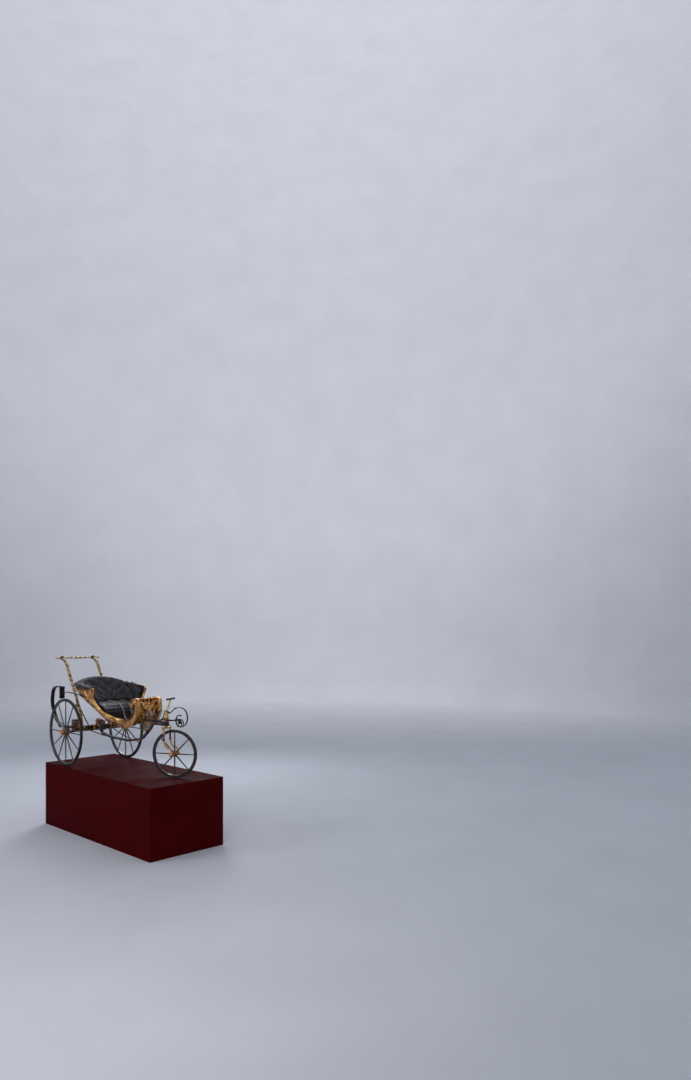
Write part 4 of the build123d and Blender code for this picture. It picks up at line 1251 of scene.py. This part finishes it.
strap_hide, shader, place = new_finish("strap_hide", Coat_Roughness=0.35)
strap_rub = place.noise(80.0, 5.0, 0.65).clear(0.45, 0.72)
drive(shader, Base_Color=strap_rub.mix(tone(34, 28, 28), tone(88, 68, 56)), Roughness=0.45 + strap_rub * 0.2,
      Coat_Weight=0.2 - strap_rub * 0.15, bump=place.cells(620.0).clear(0.0, 0.1) + strap_rub)
thread, shader, place = new_finish("waxed_thread", Roughness=0.7)
drive(shader, Base_Color=place.noise(400.0).clear(0.3, 0.7).mix(tone(168, 150, 122), tone(206, 188, 158)),
      bump=place.noise(900.0), bump_distance=0.0002, bump_strength=1.0)


def strap(name, points, wide, thick, rests_on, colour, up=upwards):
    """A flat strap of hide along points: a strip of faces, given its thickness, with stitches."""
    bm = bmesh.new()
    count = len(points) - 1
    grid = bmesh.ops.create_grid(bm, x_segments=count, y_segments=4, size=1.0)
    length = sum((second - first).length for first, second in zip(points, points[1:]))
    for vert in grid["verts"]:
        number = round((vert.co.x + 1) / 2 * count)
        side = run_at(points, number).cross(up).normalized()
        edge = 1.0 - 0.35 * (max(0.0, abs(number / count - 0.5) - 0.485) / 0.015)
        vert.co = points[number] + side * (vert.co.y * wide / 2 * edge)
    bmesh.ops.recalc_face_normals(bm, faces=bm.faces)
    bmesh.ops.solidify(bm, geom=bm.faces, thickness=thick)
    piece = fasten(bm, name, colour)
    for face in piece.data.polygons:
        face.use_smooth = abs(face.normal.dot(up)) > 0.5
    threads = bmesh.new()
    stitches = even_line(points, 0.0062)
    for number in range(1, len(stitches) - 1):
        run = run_at(stitches, number)
        side = run.cross(up).normalized()
        out = side.cross(run).normalized()
        for way in (-1, 1):
            for face in (-1, 1):
                spot = stitches[number] + side * way * (wide / 2 - 0.003) + out * face * thick * 0.52
                petal(threads, spot, run, out, 0.0021, 0.0006, 0.0005)
    seam = fasten(threads, name + "_stitches", thread)
    return piece


brace_y = 0.2203
for side, name in ((-1, "right"), (1, "left")):
    y = side * brace_y
    tail = tub_tree.ray_cast(at(-0.68, y, 0.6), Vector((1, 0, -0.04)))[0]
    brace_points = upright([(-0.709, 0.6), (-0.64, 0.612), (-0.54, 0.606), (tail.x - 0.001, 0.597)], y)
    brace = strap("brace_strap_" + name, brace_points, 0.0255, 0.0036,
                  ["spring_shackle_" + name, "body_shell"], strap_hide)
    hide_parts("rear_brace_" + name)
    # The plate that nails it to the tub, and its buckle
    bm = bmesh.new()
    anchor = brace_points[-1]
    moulded_box(bm, anchor + Vector((0.001, 0, 0)), (0.007, 0.034, 0.015), 0.002)
    for out in (-0.011, 0.011):
        ball(bm, anchor + Vector((-0.003, out, 0)), 0.0036, 0.7, -forwards, 8)
    buckle = brace_points[len(brace_points) // 5]
    for out in (-0.015, 0.015):
        moulded_box(bm, buckle + Vector((0, out, 0.0005)), (0.03, 0.0034, 0.007), 0.0012)
    for out in (-0.0135, 0.0, 0.0135):
        moulded_box(bm, buckle + Vector((out, 0, 0.003)), (0.0034, 0.033, 0.003), 0.0011)
    fasten(bm, "brace_fittings_" + name, copper_gilt)

# Seat straps.
# Two narrow tan straps lie over the cushion and hang into the foot well, to buckle a lap
# cover or a small passenger in.
tan_hide, shader, place = new_finish("tan_hide", Coat_Roughness=0.4)
tan_dark = place.noise(60.0, 5.0, 0.65).clear(0.4, 0.72)
drive(shader, Base_Color=tan_dark.mix(tone(168, 150, 128), tone(112, 92, 74)),
      Roughness=0.5 + tan_dark * 0.15,
      bump=place.noise(500.0) + tan_dark, bump_distance=0.0004)
for name, back_y, front_y, foot_x in (("near", -0.02, 0.004, -0.03), ("far", 0.098, 0.078, 0.01)):
    points = []
    for number in range(41):
        share = number / 40
        y = back_y + (front_y - back_y) * share ** 1.5
        hit = cushion_tree.ray_cast(at(-0.33 + 0.2285 * share, y, 0.8), -upwards)[0]
        if hit:
            points.append(hit + upwards * 0.0032)
    edge = points[-1]
    floor_z = tub_tree.ray_cast(at(foot_x, front_y, 0.45), -upwards)[0].z + 0.0035
    points += [Vector((edge.x + 0.0085, front_y, edge.z - 0.006)),
               Vector((edge.x + 0.0105, front_y, edge.z - 0.03)),
               at(-0.0925, front_y, 0.452), at(-0.086, front_y, 0.43),
               Vector((foot_x - 0.03, front_y - 0.004, floor_z + 0.004)),
               Vector((foot_x, front_y - 0.006, floor_z)), Vector((foot_x + 0.03, front_y - 0.008, floor_z))]
    strap("seat_strap_" + name, even_line(smooth_line(points, 2), 0.005), 0.0125, 0.0022,
          ["seat_cushion_hide", "body_shell"], tan_hide, up=Vector((0.35, 0, 1)).normalized())

# Push handle.
# Two bent shafts of carved and gilded wood, socketed on the blocks, with a ball low on each.
# They carry a turned crossbar: cream and gold beads, and a dark ribbed knob over each shaft.
shaft_gilt, shader, place = new_finish("shaft_gilding")
# Dark patches, banded up the shaft by a wave, paint the shade between its carved knobs.
shaft_shade_bands = place.node("ShaderNodeTexWave", {"bands_direction": "Z"},
                        {"Vector": place, "Scale": 7.5, "Distortion": 2.2, "Detail": 3.0,
                         "Detail Scale": 3.0})
shaft_painted_shade = (shaft_shade_bands * 0.10 + place.noise(72.0, 5.0, 0.7)).clear(0.52, 0.64)
shaft_tint = place.noise(20.0).clear(0.35, 0.7)
shaft_light = shaft_tint.mix(tone(214, 194, 142), tone(196, 150, 98))
drive(shader, Base_Color=shaft_painted_shade.mix(shaft_light, tone(58, 38, 28)),
      Metallic=0.9 - shaft_painted_shade * 0.6, Roughness=0.3 + shaft_painted_shade * 0.25,
      bump=place.noise(260.0) - shaft_painted_shade, bump_distance=0.0007, bump_strength=0.6)
knob_wood, shader, place = new_finish("knob_wood", Coat_Roughness=0.15)
knob_rub = place.noise(120.0, 5.0, 0.7).clear(0.5, 0.68)
drive(shader, Base_Color=knob_rub.mix(tone(30, 24, 20), tone(150, 110, 62)), Metallic=knob_rub * 0.7,
      Roughness=0.32 + knob_rub * 0.1, Coat_Weight=0.4 - knob_rub * 0.3,
      bump=place.noise(240.0) + knob_rub, bump_distance=0.0006, bump_strength=0.6)
handle_y = 0.147
shaft_ball_z = 0.5
for side, name in ((-1, "right"), (1, "left")):
    node = "handle_shaft_" + name
    dress(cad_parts[node], shaft_gilt)
    shaft_tree = tree_of(node)
    heights = [0.392 + number * 0.0041 for number in range(119)]
    centres = [middle_of(shaft_tree, at(-1.2, side * handle_y, z), forwards, 1.0) for z in heights]
    centres = even_line([point for point in centres if point], 0.004)
    # Rings and husks by turns up the shaft, except where its ball is
    bm = bmesh.new()
    step = 0
    for number in range(3, len(centres) - 3):
        spot = centres[number]
        run = run_at(centres, number, 2)
        if abs(spot.z - deck - shaft_ball_z) < 0.026:
            continue
        if number % 14 == 0:
            ring(bm, spot, run, 0.0112, 0.0026)
        if number % 14 in (5, 9):
            step += 1
            for ray in rays(5, run, leftwards, 0.5 * step):
                petal(bm, spot + ray * 0.0102, run + ray * 0.12, ray, 0.012, 0.0048, 0.003)
    # The ball is cut with two rows of leaves and belted
    heart = at(-0.606, side * handle_y, shaft_ball_z)
    for rise in (-upwards, upwards):
        for ray in rays(8, upwards, forwards):
            spot = heart + ray * 0.0125 + rise * 0.0115
            petal(bm, spot, rise - ray * 0.7, ray + rise * 0.7, 0.009, 0.0046, 0.0026)
    ring(bm, heart, upwards, 0.0168, 0.002, 32)
    # The socket: a square plinth and a turned cup on top of the bed's block
    moulded_box(bm, at(rear_axle_x, side * handle_y, 0.3875), (0.034, 0.0335, 0.0075), 0.002)
    ring(bm, at(rear_axle_x, side * handle_y, 0.397), upwards, 0.012, 0.0042, 32)
    fasten(bm, "shaft_carving_" + name, shaft_gilt)

dress(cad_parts["handle_crossbar"], knob_wood)
bead_gilt, shader, place = new_finish("bead_gilding")
bead_rub = place.noise(150.0, 4.0, 0.7).clear(0.60, 0.72)
drive(shader, Base_Color=bead_rub.mix(tone(244, 216, 162), tone(120, 82, 46)), Metallic=0.75 - bead_rub * 0.4,
      Roughness=0.26 + bead_rub * 0.2, bump=place.noise(260.0) - bead_rub)
bar = at(-0.888, 0, 0.898)
gilt_beads = ((0.0, 0.015), (0.04, 0.0132), (0.094, 0.0098), (0.1165, 0.01), (0.181, 0.0118), (0.202, 0.0078))
gilt_fillets = (0.0275, 0.053, 0.082, 0.108, 0.124, 0.169, 0.192)
dark_beads = ((0.0205, 0.0078), (0.061, 0.0072), (0.074, 0.006))
beads = bmesh.new()
knobs = bmesh.new()
for outward in (-leftwards, leftwards):
    for y in gilt_fillets:
        ring(beads, bar + outward * y, leftwards, 0.0056, 0.0022)
    for y, size in gilt_beads:
        ball(beads, bar + outward * y, size, 0.86, leftwards, 14)
    for y, size in dark_beads:
        ball(knobs, bar + outward * y, size, 0.9, leftwards)
    heart = bar + outward * handle_y
    for ray in rays(10, leftwards, upwards):
        petal(knobs, heart + ray * 0.0128, leftwards, ray, 0.015, 0.0046, 0.005)
    for out in (-0.015, 0.015):
        ring(knobs, heart + leftwards * out, leftwards, 0.0078, 0.003)
fasten(beads, "crossbar_beads", bead_gilt)
fasten(knobs, "crossbar_knobs", knob_wood)

# Steering column and fork.
# An iron stem turns in the head. Above the head stands a turned column with a red-brown
# collar; below hangs a gilded fork, beaded down its legs, that holds the front wheel.
column_gilt, shader, place = new_finish("column_gilding")
column_brown = 1.0 - (place.part("Z") - (deck + 0.4625)).clear(-0.0008, 0.0008)
column_dark = place.noise(70.0, 6.0, 0.7).clear(0.55, 0.7)
column_light = column_brown.mix(tone(226, 190, 120), tone(132, 54, 32))
drive(shader, Base_Color=column_dark.mix(column_light, tone(70, 42, 26)),
      Metallic=0.9 - column_brown * 0.7 - column_dark * 0.2,
      Roughness=0.28 + column_dark * 0.25 + column_brown * 0.1,
      bump=place.noise(260.0) - column_dark)
fork_gilt, shader, place = new_finish("fork_gilding")
fork_high = place.part("Z") - deck
fork_brown = (fork_high - 0.292).clear(0.0, 0.002) - (fork_high - 0.345).clear(0.0, 0.002)
fork_dark = place.noise(62.0, 6.0, 0.7).clear(0.52, 0.68)
fork_light = fork_brown.mix(tone(214, 166, 98), tone(112, 48, 32))
drive(shader, Base_Color=fork_dark.mix(fork_light, tone(60, 40, 26)),
      Metallic=0.92 - fork_brown * 0.65 - fork_dark * 0.25, Roughness=0.3 + fork_dark * 0.25,
      bump=place.noise(240.0) - fork_dark)
dress(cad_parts["steering_column"], column_gilt)
dress(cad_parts["fork"], fork_gilt)
column_mouldings = ((0.4385, 0.015, 0.003), (0.4635, 0.0128, 0.0024), (0.485, 0.0122, 0.0022),
                    (0.499, 0.015, 0.002), (0.5086, 0.0152, 0.0022))
bm = bmesh.new()
for z, size, tube in column_mouldings:
    ring(bm, turned(0, 0, z), upwards, size, tube, 40)
for ray in rays(12, upwards, forwards):
    petal(bm, turned(0, 0, 0.45) + ray * 0.0165, upwards, ray, 0.0098, 0.0036, 0.0022)
    petal(bm, turned(0, 0, 0.473) + ray * 0.0145, upwards, ray, 0.0085, 0.0032, 0.002)
fasten(bm, "column_rings", column_gilt, "steering")

leg_y = 0.05
crown_z = 0.3885
turn_square = Matrix.Rotation(steer_turn, 3, "Z")
fork_tree = tree_of("fork")
bm = bmesh.new()
for side in (-1, 1):
    heights = [0.24 + number * 0.0042 for number in range(33)]
    leg = [middle_of(fork_tree, turned(-0.2, side * leg_y, z), turn_run, 0.4) for z in heights]
    leg = [point for point in leg if point]
    for number, spot in enumerate(leg[1:-1], 1):
        run = run_at(leg, number)
        if number % 4 == 0:
            ring(bm, spot, run, 0.0072, 0.0022)
        if number in (13, 25):
            ball(bm, spot, 0.0105, 0.7, run, 16)
        if number in (12, 14, 24, 26):
            for ray in rays(6, run, run.orthogonal().normalized()):
                petal(bm, spot + ray * 0.007, run, ray, 0.0072, 0.0036, 0.0022)
    # The boss at the leg's foot, and its shoulder and row of beads on the crown
    ball(bm, turned(front_hub_x, side * 0.064, front_hub_z), 0.0135, 0.62, turn_side, 20)
    ring(bm, turned(front_hub_x, side * 0.058, front_hub_z), turn_side, 0.0118, 0.002, 32)
    moulded_box(bm, turned(0, side * leg_y, 0.3865), (0.022, 0.022, 0.0165), 0.004, turn_square)
    ball(bm, turned(0, side * leg_y, 0.397), 0.0072, 0.8, fine=14)
    for number in range(5):
        for x in (0.015, -0.015):
            ball(bm, turned(x, side * (0.01 + 0.0078 * number), crown_z), 0.003, fine=8)
fasten(bm, "fork_beads", fork_gilt, "steering")

# Tiller.
# A turned post that leans forwards out of the column, cream and gold, with a dark cross
# handle to steer by.
tiller_finish, shader, place = new_finish("tiller_finish")
tiller_dark = (place.part("Z") - (deck + 0.5995)).clear(-0.001, 0.001)
tiller_rub = place.noise(90.0, 6.0, 0.7).clear(0.5, 0.68)
tiller_light = tiller_rub.mix(tone(232, 210, 158), tone(168, 112, 58))
drive(shader, Base_Color=tiller_dark.mix(tiller_light, tone(34, 27, 25)), Metallic=(1.0 - tiller_dark) * 0.7,
      Roughness=0.32 + tiller_rub * 0.15, Coat_Weight=tiller_dark * 0.3,
      bump=place.noise(260.0) - tiller_rub, bump_distance=0.0004)
dress(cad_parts["tiller_handle"], tiller_finish)
grip_x = 0.034
grip_z = 0.612
post_foot = turned(0, 0, 0.5123)
post_head = turned(grip_x, 0, grip_z)
post_run = (post_head - post_foot).normalized()
post_rings = ((0.10, 0.0072, 0.003), (0.17, 0.007, 0.002), (0.34, 0.0068, 0.002), (0.42, 0.0066, 0.0034),
              (0.5, 0.0064, 0.002), (0.68, 0.0062, 0.0018), (0.8, 0.006, 0.003))
bm = bmesh.new()
for share, size, tube in post_rings:
    ring(bm, post_foot.lerp(post_head, share), post_run, size, tube, 32)
for y, size, tube in ((0.012, 0.0062, 0.0018), (0.04, 0.0062, 0.0018), (0.048, 0.0062, 0.0024)):
    for side in (-1, 1):
        ring(bm, turned(grip_x, side * y, grip_z), turn_side, size, tube, 28)
for side in (-1, 1):
    ball(bm, turned(grip_x, side * 0.057, grip_z), 0.0078, 0.8, turn_side, 16)
    ball(bm, turned(grip_x, side * 0.027, grip_z), 0.0078, 1.5, turn_side, 16)
fasten(bm, "tiller_turning", tiller_finish, "steering")

# Front spring.
# A round scroll of black iron that springs from the column's top and curls in over itself,
# with a bracket from the column's foot and a shackle that links the two.
dress(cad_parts["spring_bracket"], iron)
hoop_route = [(0.0155, 0.504), (0.034, 0.504), (0.052, 0.524), (0.082, 0.545), (0.128, 0.548), (0.168, 0.522),
              (0.182, 0.466), (0.166, 0.414), (0.126, 0.394), (0.092, 0.406), (0.078, 0.44), (0.086, 0.476),
              (0.104, 0.492), (0.12, 0.486)]
link_route = [(0.07, 0.452), (0.104, 0.458), (0.132, 0.446), (0.14, 0.42), (0.13, 0.398)]
hoop = even_line(smooth_line([turned(x, 0, z) for x, z in hoop_route], 4), 0.004)
bm = bmesh.new()
sweep(bm, hoop, 0.0035, 16, 3.0, up=turn_side)
ball(bm, hoop[-1], 0.0068, 2.0, turn_side, 18)
moulded_box(bm, turned(0.02, 0, 0.504), (0.014, 0.0265, 0.0125), 0.002, turn_square)
for spot in (18, len(hoop) - 30):
    run = run_at(hoop, spot, 2)
    clip_turn = Matrix((run, turn_side, run.cross(turn_side))).transposed()
    moulded_box(bm, hoop[spot], (0.009, 0.0255, 0.0115), 0.002, clip_turn)
# The shackle: two cheeks and a closed link that hangs from the bracket's end to the scroll
for side in (-1, 1):
    link = smooth_line([turned(x, side * 0.0138, z) for x, z in link_route])
    sweep(bm, even_line(link, 0.004), 0.0036, 10, 1.5, up=turn_side, fade=0.05)
    for x, z in ((0.074, 0.452), (0.13, 0.4)):
        ball(bm, turned(x, side * 0.0165, z), 0.0064, 0.55, turn_side * side)
moulded_box(bm, turned(0.112, 0, 0.4345), (0.02, 0.024, 0.026), 0.004, turn_square)
moulded_box(bm, turned(0.092, 0, 0.448), (0.044, 0.015, 0.0095), 0.003, turn_square)
for z in (0.4225, 0.448):
    ring(bm, turned(0.112, 0, z), upwards, 0.011, 0.0022)
hoop_spring = fasten(bm, "hoop_spring", iron, "steering")
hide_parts("front_spring")

# Front strap.
# A leather strap from the tub's front up to an iron ring that rests on the column's top, in
# which the tiller's post turns; and a cast iron stay between the upper bar and the head.
tub_front = tub_tree.ray_cast(at(0.45, 0, 0.452), -forwards)[0].x
strap_route = [(tub_front + 0.002, 0.443), (0.33, 0.444), (0.388, 0.448), (0.428, 0.496),
               (0.462, 0.5156), (0.5235, 0.5156)]
front_strap = strap("front_strap", upright(strap_route, 0), 0.02, 0.0036,
                    ["body_shell", "strap_ring"], strap_hide)
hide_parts("front_brace")
bm = bmesh.new()
ring(bm, at(steer_x, 0, 0.5158), upwards, 0.0148, 0.0025, 48, 10)
moulded_box(bm, at(0.525, 0, 0.516), (0.01, 0.0225, 0.0066), 0.0015)
for y in (-0.006, 0.006):
    ball(bm, at(0.5235, y, 0.5194), 0.0026, 0.6, fine=8)
moulded_box(bm, at(tub_front + 0.004, 0, 0.443), (0.007, 0.03, 0.016), 0.002)
fasten(bm, "strap_ring", iron)

stay_route = [(0.436, 0.437), (0.47, 0.442), (0.498, 0.458), (0.516, 0.48), (0.5245, 0.508)]
bm = bmesh.new()
# Cross clips along the upper bar, which narrows towards the head, and two hoops on the head
for x in (0.36, 0.42, 0.47, 0.515):
    half = 0.014 - 0.005 * (x - 0.23) / 0.2927
    moulded_box(bm, at(x, 0, 0.4265), (0.008, 2 * half + 0.004, 0.017), 0.0016)
for z in (0.404, 0.43):
    ring(bm, at(steer_x, 0, z), upwards, 0.019, 0.0018, 40)
# The stay: a curved pair of rods, each with a scroll, in the corner between the bar and the head
for y in (-0.0085, 0.0085):
    sweep(bm, upright(stay_route, y), 0.004, fade=0.05)
    scroll(bm, (0.492, 0.443), (0.0085, 0.002), -1.1, 60, y, 0.0024, 8)
fasten(bm, "bar_stay", iron)
